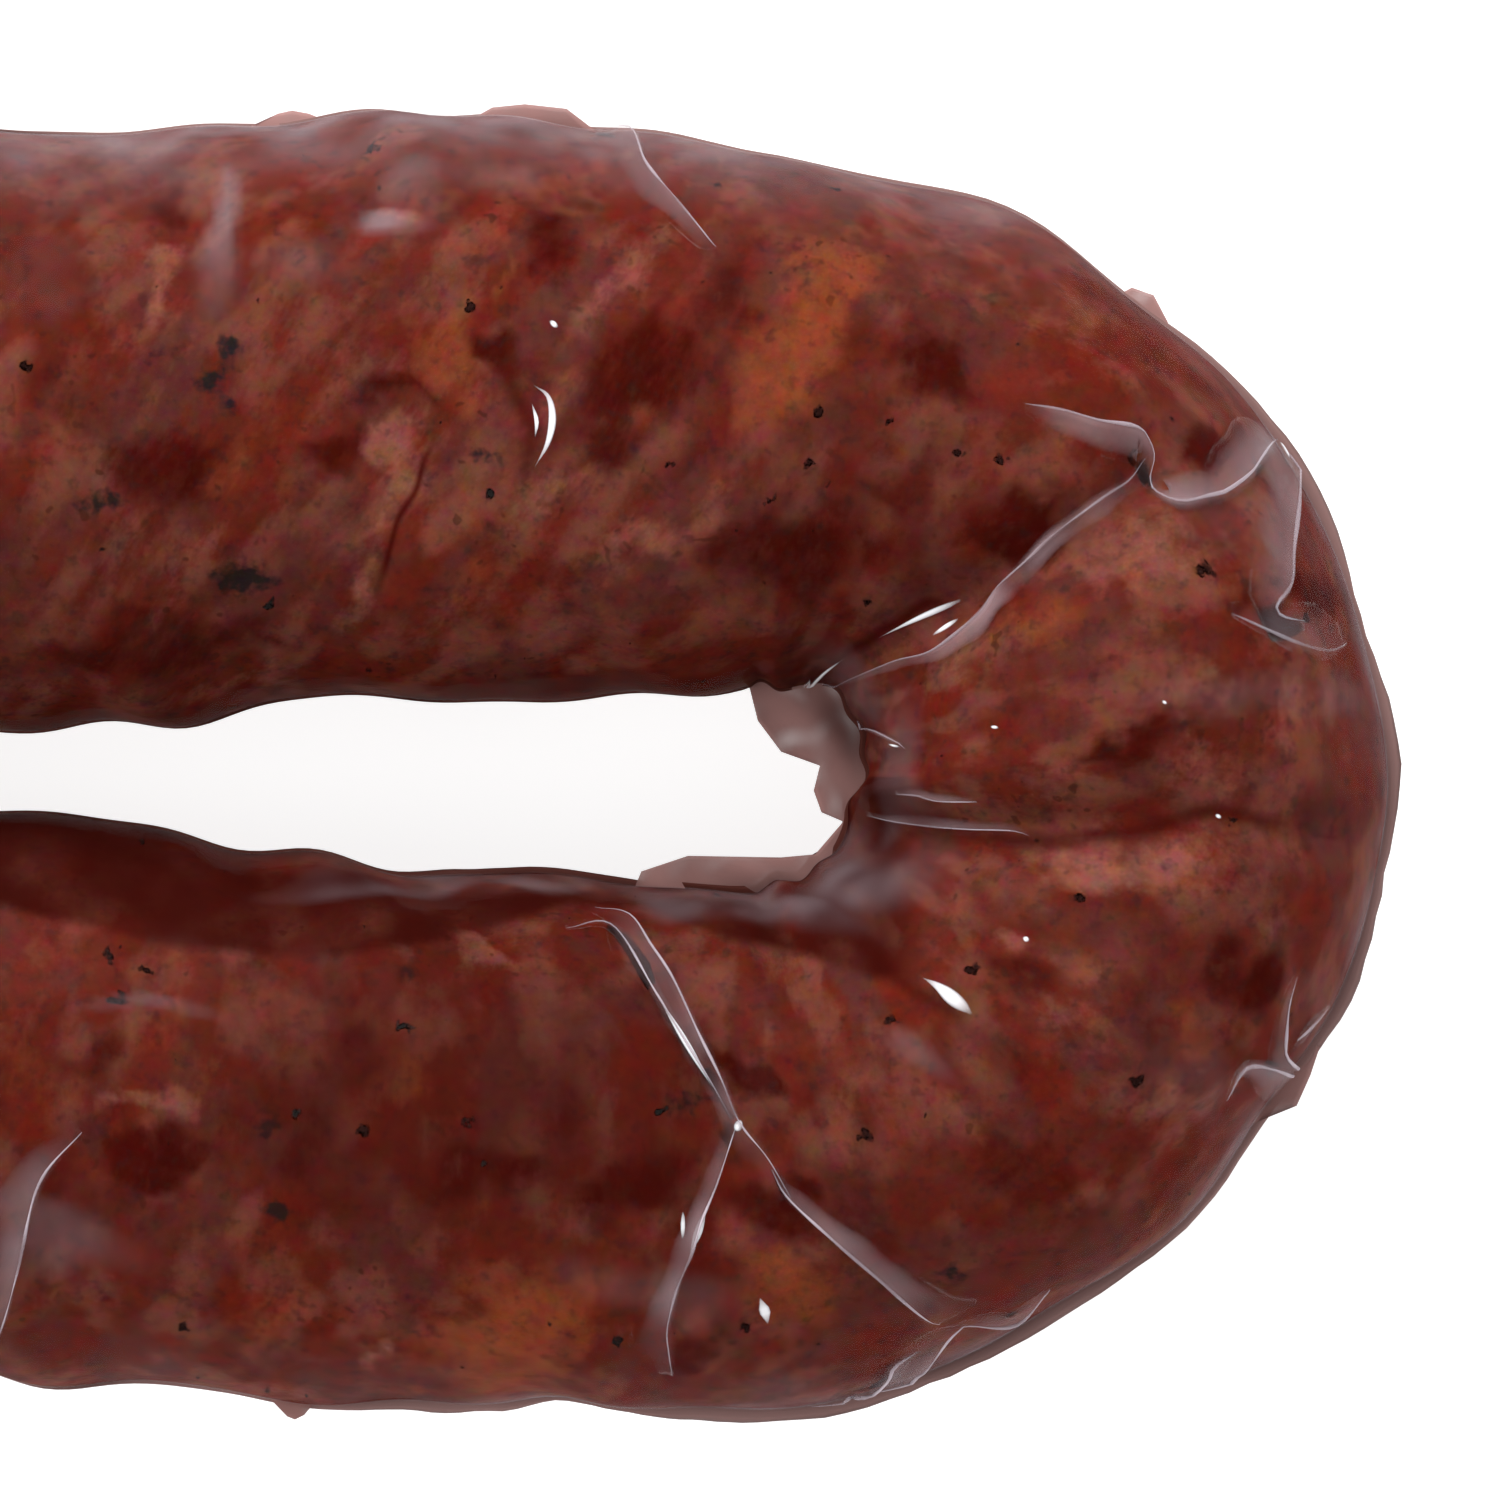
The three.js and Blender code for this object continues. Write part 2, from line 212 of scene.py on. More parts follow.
def bulge(value):  # a signed power that turns a sine or cosine into a side of the section
    return np.sign(value) * np.abs(value) ** (2 / ropeForm["squareness"])


# The rope's surface: centre line plus half width times the section's cosine, half height times its
# sine, both with the relief added, and pressed flat where it would pass under the table.
def surfacePoint(along, turn, sunk=0.0):
    centreX, centreY, outX, outY = centreLine(along)
    width, height, middle, closed = girth(along)
    opened = 1 - closed
    gatherDepth = ropeForm["pleatDepth"] * closed * (opened + ropeForm["pleatShareOnStub"])
    gather = gatherDepth * np.cos(ropeForm["pleatCount"] * turn)
    rise = relief(along, turn) * np.minimum(1, 2 * opened) + gather - sunk
    upward = np.maximum(0, np.sin(turn))
    reach = (width + rise) * bulge(np.cos(turn))
    rise = rise - upward * valleyDepth(centreX + outX * reach, centreY + outY * reach)
    out = (width + rise) * bulge(np.cos(turn))
    up = (height + rise) * bulge(np.sin(turn))
    z = np.maximum(np.clip(sunk, 0, None), middle + up)
    return np.stack([centreX + outX * out, centreY + outY * out, z + 0 * out], -1)


# Plan places as the camera sees them at its focus height: drawn away from its axis by their height.
def asSeen(points):
    nearer = 1 - (points[..., 2] - view["focusHeight"]) / view["distance"]
    axisX, axisY = view["x"], view["y"]
    return axisX + (points[..., 0] - axisX) / nearer, axisY + (points[..., 1] - axisY) / nearer


# Turns a place in the photograph's plan into along and turn on the upper face: three times over, the
# place is moved by as much as the point found there is seen off its mark.
def seenOnRope(x, y):
    x, y = np.asarray(x, float), np.asarray(y, float)
    aimX, aimY = x, y
    for _ in range(3):
        seenX, seenY = asSeen(surfacePoint(*onRope(aimX, aimY)))
        aimX, aimY = aimX + x - seenX, aimY + y - seenY
    return onRope(aimX, aimY)


# Turns a place in plan into along and turn on the upper face.
def onRope(x, y):
    x, y = np.asarray(x, float), np.asarray(y, float)
    side = np.where(y >= 0, 1.0, -1.0)
    inBend = x >= 0
    along = np.where(inBend, ropeForm["bendRadius"] * np.arctan2(y, x), side * (halfArc - x))
    armOut = np.abs(y) - np.abs(centreLine(along)[1])
    out = np.where(inBend, np.hypot(x, y) - ropeForm["bendRadius"], armOut)
    share = np.clip(out / girth(along)[0], -ropeForm["flankLimit"], ropeForm["flankLimit"])
    turn = np.arccos(np.sign(share) * np.abs(share) ** (ropeForm["squareness"] / 2))
    return along, turn


# A random field: plane waves in seeded directions added up, mostly between -1 and 1.
def ripple(points, wavelength, seed, waves=24):
    draw = np.random.default_rng(seed)
    ways = draw.normal(size=(waves, 3))
    ways /= np.linalg.norm(ways, axis=1, keepdims=True)
    ways *= 2 * math.pi / wavelength * draw.uniform(0.7, 1.4, (waves, 1))
    starts = draw.uniform(0, 2 * math.pi, waves)
    return np.sin(points @ ways.T + starts).sum(-1) / math.sqrt(waves)


# Several random fields added up, each given as height, wavelength and seed.
def ripples(points, *fields):
    return sum(height * ripple(points, wavelength, seed) for height, wavelength, seed in fields)


# A surface from rings of points: rows are rings, each closed on itself, and each end closes on the
# middle of its ring. Faces are turned to point outwards by the sign of the volume.
def putSurface(name, grids, material, attributes):
    points, quads, tris, start = [], [], [], 0
    for grid in grids:
        rings, sides = grid.shape[:2]
        ends = np.stack([grid[0].mean(0), grid[-1].mean(0)])
        body = grid.reshape(-1, 3)
        index = np.arange(rings * sides).reshape(rings, sides)
        nextIndex = np.roll(index, -1, 1)
        quad = np.stack([index[:-1], nextIndex[:-1], nextIndex[1:], index[1:]], -1).reshape(-1, 4)
        first = np.full(sides, rings * sides)
        tri = np.concatenate([
            np.stack([first, nextIndex[0], index[0]], -1),
            np.stack([first + 1, index[-1], nextIndex[-1]], -1),
        ])
        whole = np.concatenate([body, ends])
        a, b, c = whole[quad[:, 0]], whole[quad[:, 1]], whole[quad[:, 2]]
        d = whole[quad[:, 3]]
        middle = body.mean(0)
        volume = np.einsum("ij,ij->", a - middle, np.cross(b - middle, c - middle))
        volume += np.einsum("ij,ij->", a - middle, np.cross(c - middle, d - middle))
        if volume < 0:
            quad, tri = quad[:, ::-1], tri[:, ::-1]
        points.append(whole)
        quads.append(quad + start)
        tris.append(tri + start)
        start += len(whole)
    points = (np.concatenate(points) + planCentre) * mm
    mesh = bpy.data.meshes.new(name)
    mesh.from_pydata(points, [], np.concatenate(quads).tolist() + np.concatenate(tris).tolist())
    mesh.polygons.foreach_set("use_smooth", np.ones(len(mesh.polygons), bool))
    for key, values in attributes.items():
        kind = "FLOAT_VECTOR" if values[0].ndim == 3 else "FLOAT"
        field = mesh.attributes.new(key, kind, "POINT")
        flat = []
        for value in values:
            value = value.reshape(*value.shape[:2], -1)
            flat.append(value.reshape(-1, value.shape[2]))
            flat.append(np.stack([value[0].mean(0), value[-1].mean(0)]))
        slotName = "vector" if kind == "FLOAT_VECTOR" else "value"
        field.data.foreach_set(slotName, np.concatenate(flat).ravel())
    mesh.update()
    piece = bpy.data.objects.new(name, mesh)
    bpy.context.scene.collection.objects.link(piece)
    mesh.materials.append(material)
    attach(piece, "root")
    print(name, len(mesh.polygons), "faces")
    return piece


# Shader building blocks
def addNode(tree, kind, settings=None, sockets=None):
    made = tree.nodes.new(kind)
    for key, value in (settings or {}).items():
        setattr(made, key, value)
    for key, value in (sockets or {}).items():
        if isinstance(value, bpy.types.NodeSocket):
            tree.links.new(value, made.inputs[key])
        else:
            made.inputs[key].default_value = value
    return made


def newMaterial(name):
    material = bpy.data.materials.new(name)
    material.use_nodes = True
    material.node_tree.nodes.clear()
    return material, material.node_tree


def readAttribute(tree, name, output="Fac"):
    return addNode(tree, "ShaderNodeAttribute", {"attribute_name": name}).outputs[output]


def noiseField(tree, vector, scale, detail=2.0, rough=0.5, output=0):
    sockets = {"Vector": vector, "Scale": scale, "Detail": detail, "Roughness": rough}
    return addNode(tree, "ShaderNodeTexNoise", {"noise_dimensions": "3D"}, sockets).outputs[output]


def softStep(tree, value, start, end, most=1.0, least=0.0):
    sockets = {"Value": value, "From Min": start, "From Max": end, "To Min": least, "To Max": most}
    settings = {"interpolation_type": "SMOOTHSTEP"}
    return addNode(tree, "ShaderNodeMapRange", settings, sockets).outputs["Result"]


def calculate(tree, operation, *values):
    return addNode(tree, "ShaderNodeMath", {"operation": operation}, dict(enumerate(values))).outputs[0]


def mixColours(tree, share, *colours):
    sockets = {0: share}
    for index, colour in zip((6, 7), colours):  # the colour inputs A and B
        sockets[index] = colour if isinstance(colour, bpy.types.NodeSocket) else (*colour, 1)
    return addNode(tree, "ShaderNodeMix", {"data_type": "RGBA"}, sockets).outputs[2]


def mixShaders(tree, share, first, second):
    sockets = {0: share, 1: first.outputs[0], 2: second.outputs[0]}
    return addNode(tree, "ShaderNodeMixShader", None, sockets)


def toSurface(tree, shader):
    addNode(tree, "ShaderNodeOutputMaterial", None, {"Surface": shader.outputs[0]})


def objectPlace(tree):
    return addNode(tree, "ShaderNodeTexCoord").outputs["Object"]


def addCamera():
    camera = bpy.data.cameras.new("overhead_camera")
    camera.sensor_width = view["sensor"]
    camera.lens = view["sensor"] * view["distance"] / view["frameWidth"]
    camera.clip_end = view["clipEnd"]
    holder = bpy.data.objects.new("overhead_camera", camera)
    height = view["focusHeight"] + view["distance"]
    holder.location = (np.array([view["x"], view["y"], height]) + planCentre) * mm
    bpy.context.scene.collection.objects.link(holder)
    bpy.context.scene.camera = holder


# The meat: palette in linear light, and the patches of fat and lean that stand out on the upper
# face, each as x, y, length, width, degrees, strength. Between and beyond them seeded ones take over.
meat = {
    "inset": 0.13,
    "steps": (0.55, 1.4, 56),  # along: near, far, and how much of the arms is near
    "sides": 190,
    "topShare": 0.64,  # of the sides, on the upper half
    "palette": {
        "redBrown": (0.089, 0.0120, 0.0068),
        "violetBrown": (0.080, 0.0185, 0.0140),
        "tan": (0.138, 0.0385, 0.0250),
        "brightRed": (0.104, 0.0105, 0.0056),
        "maroon": (0.040, 0.0030, 0.0018),
        "orangeFat": (0.172, 0.0370, 0.0150),
        "paleFat": (0.190, 0.0600, 0.0400),
        "speck": (0.030, 0.008, 0.005),
        "casing": (0.17, 0.075, 0.038),
        "herb": (0.0090, 0.0095, 0.0096),
    },
    "layers": [  # attribute, tone that it brings, where its share starts and ends, its most
        ("violet", "violetBrown", 0.15, 0.85, 1.0),
        ("red", "brightRed", 0.4, 1.1, 0.85),
        ("tan", "tan", 0.15, 0.95, 0.85),
        ("dark", "maroon", 0.08, 0.95, 1.0),
        ("fat", "orangeFat", 0.1, 1.1, 1.0),
        ("pale", "paleFat", 0.12, 1.1, 1.0),
    ],
    "mottling": {  # level of each random attribute, then its fields' heights, wavelengths and seeds
        "violet": (0.5, (0.36, 10, 31), (0.2, 3, 36)),
        "red": (0.42, (0.42, 5, 32)),
        "tan": (0.3, (0.36, 6.5, 34), (0.28, 2.8, 35)),
    },
    "scattering": [  # attribute, seed, count, longest, share kept between the placed ones, softness
        ("fat", 11, 110, 11, 0.3, 0.7), ("pale", 12, 170, 8, 0.45, 0.75), ("dark", 13, 210, 10, 0.5, 0.6),
    ],
    "waverX": [(0.8, 7, 3), (0.4, 2.6, 4)],  # how the edges of patches waver
    "waverY": [(0.8, 7, 5), (0.4, 2.6, 6)],
    "waverAlong": (1.2, 9, 7),
    "waverAcross": (1.2, 9, 8),
    "scatterAlong": (-185, 192),  # where the seeded patches lie on the unrolled rope
    "scatterAcross": (-55, 55),
    "halfGirth": 53,
    "pepperWave": (9, 33),  # wavelength and seed of how thickly the fine pepper lies
    "shear": 0.6,  # of the grain on the upper arm
    "shearReach": 12,  # either side of the arm's start, over which it sets in
    "squeeze": 0.66,  # of the grain across the rope
    "noises": {  # scale, detail, roughness
        "ragged": (0.5, 4, 0.7), "nibbled": (1000, 2, 0.6), "fine": (700, 3, 0.72), "dots": (1350, 0, 0.4),
    },
    "raggedSwing": 0.26,
    "nibbledSwing": 0.7,
    "tintSwing": (1.1, 1.5, 1.4),  # how far the fine noise moves red, green and blue
    # the colour of the painted shade
    "shade": (0.030, 0.0028, 0.0018),
    "shadedFlanks": [  # painted shade on inner flanks under the crook: route, side of it, softness, strength
        ([(-200, -7), (-48, -8.3), (-37.4, -10.8), (-29, -11.7), (-20, -10.8), (-12, -8.5), (-7, -8.4),
          (-2, -10.3), (3.2, -11.3), (8, -13)], 1, 0.7, 0.95),
        ([(-200, 8), (-48, 8.5), (-30, 7.4), (-15, 6.6), (0, 6.4)], -1, 3.2, 0.05),
    ],
    "paintedShadeStretches": [  # broad stretches of painted shade, given as the patches
        (-19, -21, 36, 20, 0, 0.62), (-44, -24, 18, 20, 0, 0.26), (12, -26, 20, 14, 60, 0.12),
        (-40, 14, 22, 12, 10, 0.2), (-42, 30, 12, 22, 0, 0.12), (10, 18, 22, 13, 20, 0.26),
    ],
    "creases": [  # painted shade: fine dark lines in the creases between lumps of filling: route, width, strength
        ([(-19.8, 22.3), (-21.3, 19.2), (-22.7, 15.8), (-24.2, 10.9)], 0.8, 0.9),
        ([(13, -3.8), (18, -4.2), (25.2, -3.6), (29.8, -2.3), (36, -3.6)], 2, 0.75),
        ([(4, 6.2), (9, 9.6), (11.5, 10.9), (14, 11.2)], 1.3, 0.85),
        ([(3, -8), (5.9, -9), (8.1, -12), (11.7, -14.6), (15, -17)], 1.6, 0.6),
        ([(-15, 29.3), (-15.6, 25.4), (-14, 22), (-15, 17)], 1.8, 0.6),
        ([(-3, 33), (-6, 30), (-8.5, 25)], 1.4, 0.4),
    ],
    "fat": [
        (3.5, 28.5, 13, 5.5, 60, 1), (0, 24.5, 6, 3.5, 75, 0.9), (6.2, 33, 4, 3, 80, 0.8),
        (-18.5, 35, 4.5, 2.5, 20, 0.6), (-19, 27, 3.5, 6, 0, 0.85), (-11, 38, 4.5, 3, 20, 0.5),
        (-16, 31.5, 3.5, 2, 80, 0.6), (-33.5, 20, 5.5, 3, 55, 0.5), (-18, 12, 4, 3, 50, 0.5),
        (-37, -15, 4.5, 2, 85, 0.55), (-35.5, -19.5, 4, 3, 80, 0.55), (-45, -19.5, 5, 4, 70, 0.35),
        (-22, -19.5, 4, 3, 40, 0.6), (-31, -35, 5, 3.5, 30, 0.5), (-15, -36, 12, 7, 25, 1),
        (3, -33.5, 7, 4, -20, 0.7), (18, 10, 7, 4, 15, 0.5), (28, -17, 6, 2, -42, 0.6),
        (31, 1, 4.5, 3.5, 60, 0.5), (21.5, -15, 6, 2.5, -35, 0.35), (-8.5, 14, 6, 2, 35, 0.35),
    ],
    "herbs": [  # blotches of herb and pepper under the film
        (-32.6, 12.3, 3.9, 2.1, 3, 1.5), (-33.6, 27.3, 2.4, 1.1, 80, 1.5),
        (-34.7, 25.5, 1.8, 1.1, 25, 1.5), (-33.3, 23.7, 1, 0.9, 0, 1.3), (-37.9, 27.2, 1.7, 1, 30, 1),
        (-41.9, 17.6, 2.7, 1.2, 8, 1.3), (-31, -23, 1.8, 1.4, 40, 1.2),
        (-30.6, -28.2, 1.8, 1.2, -10, 1.5), (-4, -20.9, 3, 1.2, 20, 1.3),
        (13.2, -32.3, 1.4, 1.1, 10, 1.4), (-17.1, 20.5, 1.6, 0.9, 0, 0.9),
        (-22.5, -12.9, 1.9, 1.2, 0, 0.8),
    ],
    "pale": [
        (-38, 32, 3.5, 2, 80, 0.9), (-22.5, 36, 3.5, 1.6, 5, 0.8), (-23, 21.5, 3.5, 2, -10, 1),
        (-23, 18, 9, 2.5, 62, 0.65), (-41, 15, 6, 3.5, 30, 0.45), (-26, 26, 3.5, 2.5, 80, 0.4),
        (-9.5, 31, 9, 2, 48, 0.55), (-11.5, 24.5, 3, 4.5, 85, 0.45), (-5.5, 15, 9.5, 2.5, 27, 0.8),
        (-17, -11.5, 4.5, 2, -12, 0.9), (-38, -21, 1.5, 7, 88, 0.8), (-24.5, -38, 3, 1.5, 15, 0.8),
        (25.5, 14, 8.5, 3.5, 4, 0.75), (21.5, -6, 5, 3.5, 20, 0.95), (26.5, -6, 11, 3.5, 8, 0.75),
        (19.5, 0.5, 5, 2, -10, 0.4), (13.5, 8, 6.5, 3, 25, 0.5), (30, 0.5, 4, 5, 70, 0.4),
        (27.5, -21.5, 5.5, 4, 30, 0.75), (17, -9.5, 3, 1.5, -15, 0.7), (-32, 5, 7, 1.5, 5, 0.4),
        (-20.5, -26, 5, 2.5, 20, 0.35), (13, 35, 7.5, 3, -12, 0.3), (12, -22, 5, 2, -30, 0.35),
        (-24.5, 12.5, 8, 1.6, 70, 0.6), (-13.2, 18, 6, 2.6, 30, 0.6), (-27, 38, 6, 2, 10, 0.35),
    ],
    "dark": [
        (-37, 36.5, 3, 3, 60, 0.7), (-16, 27.5, 2, 5.5, 85, 0.9), (-23, 24.5, 1.5, 6.5, 80, 0.8),
        (-37, 20, 6.5, 8, 60, 0.8), (-27, 21, 4.5, 4, 30, 0.8), (-12.5, 34.5, 5, 3.5, 40, 0.8),
        (-1.5, 30.5, 6.5, 4.5, 65, 0.75), (-7, 26, 12, 5, 50, 0.8), (-9.5, 21.5, 7, 3, 50, 0.7),
        (11.5, 26.5, 4.5, 7, 70, 0.8), (3, 14, 11, 6, 10, 0.75), (-42.5, -18, 4.5, 3, 20, 0.7),
        (-37.5, -24.5, 8, 3.5, 8, 0.9), (-26, -17, 3, 3, 0, 0.6), (-18, -25.5, 9, 4.5, 8, 0.85),
        (0, -19, 2.4, 9.5, 62, 0.8), (1.5, -28.5, 3.5, 6, 70, 0.8), (-8, -26.5, 7.5, 5, 20, 0.9),
        (-2.5, -36.5, 4.5, 3.5, 50, 0.6), (29, 21, 6, 3.5, 10, 1), (17, 16, 6, 5, 30, 0.9),
        (36, 12, 2.5, 7, 85, 0.7), (25, 2.5, 8, 1.6, 8, 0.8), (17.5, -12.5, 6, 3, -30, 0.7),
        (32, -13.5, 4.5, 5, 60, 0.9), (-44.5, 24, 5, 8, 70, 0.5), (-38, 8, 20, 3, 2, 0.6),
        (9.5, 19, 8, 3, 10, 0.55), (18, -26, 12, 4, -38, 0.6), (7, -21, 7, 3, -50, 0.5),
        (-12, -21.5, 5, 4.5, 40, 0.5), (-9, 5.5, 12, 2, 0, 0.5), (-29, -23, 4.5, 4, 30, 0.5),
        (8, -28, 10, 8, 50, 0.35),
    ],
}


# The stronger of several soft-edged ellipses at each place: full inside, gone a little outside.
def patchField(x, y, patches, edge=0.6):
    field = np.zeros(np.shape(x))
    for px, py, length, width, degrees, strength in patches:
        lengthways, widthways = turned(x - px, y - py, -degrees)
        distance = 2 * np.hypot(lengthways / length, widthways / width)
        field = np.maximum(field, strength * (1 - ramp(distance, 1 - edge, 1 + edge)))
    return field


# Where the rings of a grid stand: fine steps round the bend and the near arms, coarser beyond.
def ringPlaces(nearStep, farStep, nearArm):
    near = halfArc + nearArm
    upperEnd = armLength["upperArm"] + ropeForm["stubLength"]
    lowerEnd = armLength["lowerArm"] + ropeForm["stubLength"]
    upperFar = np.linspace(upperEnd, near, int((upperEnd - near) / farStep))[:-1]
    middle = np.linspace(near, -near, int(2 * near / nearStep))
    lowerFar = np.linspace(-near, -lowerEnd, int((lowerEnd - near) / farStep))[1:]
    return np.concatenate([upperFar, middle, lowerFar])


# The grid that the meat and the film over it share: along and turn, closer together on the upper half.
def ropeGrid():
    along = ringPlaces(*meat["steps"])[:, None]
    above = int(meat["sides"] * meat["topShare"])
    turn = np.concatenate([
        np.linspace(0, math.pi, above, endpoint=False),
        np.linspace(math.pi, 2 * math.pi, meat["sides"] - above, endpoint=False),
    ])[None, :]
    return np.broadcast_arrays(along, turn)


# Height of the coarse mince under the film: random waves, lying a little below the plain surface.
def mincing(points):
    height = -filling["sunk"]
    for k, (wavelength, rise) in enumerate(filling["lumps"]):
        height = height + rise * ripple(points, wavelength, 40 + k)
    return height


# The lumps where a surface stands: none on the flanks, so that the outline stays smooth, nor on the stubs.
def lumpsAt(points, along, turn):
    lumps = np.minimum(filling["highestLump"], mincing(points))
    return lumps * (1 - girth(along)[3]) * np.abs(np.sin(turn))


# Seeded patches for the far arms and the underside, in unrolled millimetres.
def scatteredPatches(seed, count, longest):
    draw = np.random.default_rng(seed)
    along = draw.uniform(*meat["scatterAlong"], count)
    across = draw.uniform(*meat["scatterAcross"], count)
    length = draw.uniform(0.45, 1, count) * longest
    width = length * draw.uniform(0.35, 0.75, count)
    degrees = draw.normal(90, 28, count)
    return list(zip(along, across, length, width, degrees, draw.uniform(0.4, 1, count)))


# Every field of colour is an attribute; one ragged noise frays their edges, and two finer ones add
# the grain of the mince and its peppering.
def meatMaterial():
    material, tree = newMaterial("coarse_smoked_meat")
    colours = meat["palette"]
    grain = readAttribute(tree, "grain", "Vector")
    place = objectPlace(tree)

    def frayed(name, vector, noise, swing):  # an attribute with a noise added that frays its edges
        added = noiseField(tree, vector, *meat["noises"][noise])
        added = softStep(tree, added, 0.25, 0.75, swing, -swing)
        return calculate(tree, "ADD", readAttribute(tree, name), added)

    colour = colours["redBrown"]
    for name, tone, start, end, most in meat["layers"]:
        share = softStep(tree, frayed(name, grain, "ragged", meat["raggedSwing"]), start, end, most)
        colour = mixColours(tree, share, colour, colours[tone])
    spot = frayed("herbs", place, "nibbled", meat["nibbledSwing"])
    colour = mixColours(tree, softStep(tree, spot, 0.1, 1.5, 0.95), colour, colours["herb"])
    # painted shade along the creases, in the meat's maroon
    line = calculate(tree, "ABSOLUTE", readAttribute(tree, "crease"))
    line = calculate(tree, "MULTIPLY", softStep(tree, line, 0, 1, 0, 1), readAttribute(tree, "creaseShade"))
    colour = mixColours(tree, line, colour, colours["maroon"])
    tint = addNode(tree, "ShaderNodeVectorMath", {"operation": "MULTIPLY_ADD"}, {
        0: noiseField(tree, place, *meat["noises"]["fine"], "Color"),
        1: meat["tintSwing"],
        2: [1 - swing / 2 for swing in meat["tintSwing"]],
    })
    sockets = {0: colour, 1: tint.outputs[0]}
    toned = addNode(tree, "ShaderNodeVectorMath", {"operation": "MULTIPLY"}, sockets)
    dots = noiseField(tree, place, *meat["noises"]["dots"])
    dots = softStep(tree, dots, 0.71, 0.80)
    dotShare = calculate(tree, "MULTIPLY", dots, readAttribute(tree, "peppering"))
    colour = mixColours(tree, dotShare, toned.outputs[0], colours["speck"])
    # painted shade: flanks and broad stretches darkened towards the shade colour
    colour = mixColours(tree, readAttribute(tree, "shade"), colour, meat["shade"])
    colour = mixColours(tree, readAttribute(tree, "casing"), colour, colours["casing"])
    skin = addNode(tree, "ShaderNodeBsdfPrincipled", None, {
        "Base Color": colour,
        "Roughness": 0.5,
        "Specular IOR Level": 0.0,  # the film over it has the gloss
    })
    toSurface(tree, skin)
    return material


# The meat's attributes: soft patches in plan on the upper face, seeded ones elsewhere, random fields,
# and "grain", cylinder coordinates sheared on the upper arm and squeezed across, so that every noise
# read from it runs across the rope.
def makeMeat():
    along, turn = ropeGrid()
    plain = surfacePoint(along, turn)
    grid = surfacePoint(along, turn, meat["inset"] - lumpsAt(plain, along, turn))
    seenX, seenY = asSeen(plain)
    x = seenX + ripples(plain, *meat["waverX"])
    y = seenY + ripples(plain, *meat["waverY"])
    radius, squeeze = ropeForm["meanRadius"], meat["squeeze"]
    across = radius * np.cos(turn)
    reach = meat["shearReach"]
    shear = meat["shear"] * ramp(along, halfArc - reach, halfArc + reach)
    grain = np.stack([along + shear * across, squeeze * across, squeeze * radius * np.sin(turn)], -1)
    seen = ramp(np.sin(turn), -0.2, 0.2) * ramp(plain[..., 0], -56, -50)
    unrolledX = along + shear * across + ripples(plain, meat["waverAlong"])
    unrolledY = (turn - math.pi * 1.5) % (2 * math.pi) * radius - meat["halfGirth"]
    unrolledY = unrolledY + ripples(plain, meat["waverAcross"])
    attributes = {"grain": [grain]}
    for name, seed, count, longest, between, edge in meat["scattering"]:
        placed = patchField(x, y, meat[name], edge)
        scattered = patchField(unrolledX, unrolledY, scatteredPatches(seed, count, longest))
        attributes[name] = [np.maximum(placed * seen, scattered * (1 - seen * (1 - between)))]
    attributes["herbs"] = [patchField(seenX, seenY, meat["herbs"], 0.7) * seen]
    for name, (level, *fields) in meat["mottling"].items():
        attributes[name] = [level + ripples(grain, *fields)]
    attributes["peppering"] = [0.08 + 0.5 * ramp(ripple(grain, *meat["pepperWave"]), -0.2, 1.4)]
    attributes["casing"] = [ramp(girth(along)[3], 0.75, 0.97)]
    # Painted shade: the inner flanks under the crook, less on their very edge, and broad darker stretches
    shade = np.zeros(along.shape)
    for route, side, softness, strength in meat["shadedFlanks"]:
        line = np.interp(plain[..., 0], *np.array(route).T)
        within = ramp(side * (plain[..., 1] - line), -softness / 2, softness) * (side * along < 0)
        within = within * ramp(-np.abs(along), -armLength["lowerArm"], -armLength["lowerArm"] + 30)
        beyond = ramp(plain[..., 0], route[-1][0], route[-1][0] + 4)
        shade = np.maximum(shade, strength * within * (1 - beyond))
    edge = ramp(np.sin(turn), 0, 0.12) * (1 - ramp(np.sin(turn), 0.22, 0.42))  # less painted shade on the edge, under loose film
    shade = shade * ramp(np.sin(turn), -0.6, 0) * (1 - 0.8 * edge * ramp(plain[..., 0], -40, -28))
    shade = shade * np.clip(0.92 + 0.14 * ripple(grain, 6, 42), 0.6, 1)
    # broad stretches of painted shade, joined to the flanks' painted shade
    paintedShadeStretches = patchField(x, y, meat["paintedShadeStretches"], 0.7) * ramp(np.sin(turn), -0.2, 0.2)
    attributes["shade"] = [np.maximum(shade, paintedShadeStretches)]
    # painted shade along the creases: signed distance to the nearest crease and how dark it is there
    nearest, depth = np.full(along.shape, 9.0), np.zeros(along.shape)
    waver = 0.12 * ripple(plain, 4, 41)
    for route, width, strength in meat["creases"]:
        away = (besideLine(seenX, seenY, route) + waver) * 2 / width
        closer = (np.abs(away) < np.abs(nearest)) & (np.sin(turn) > 0)
        ends = np.array([route[0], route[-1]])
        toEnd = np.hypot(seenX[..., None] - ends[:, 0], seenY[..., None] - ends[:, 1]).min(-1)
        nearest = np.where(closer, away, nearest)
        depth = np.where(closer, strength * ramp(toEnd, 0, 3), depth)
    depth = np.where(np.abs(nearest) < 2.2, depth, 0)
    attributes["crease"], attributes["creaseShade"] = [np.clip(nearest, -9, 9)], [depth]
    piece = putSurface("smoked_meat", [grid], meatMaterial(), attributes)
    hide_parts("sausage_rope")


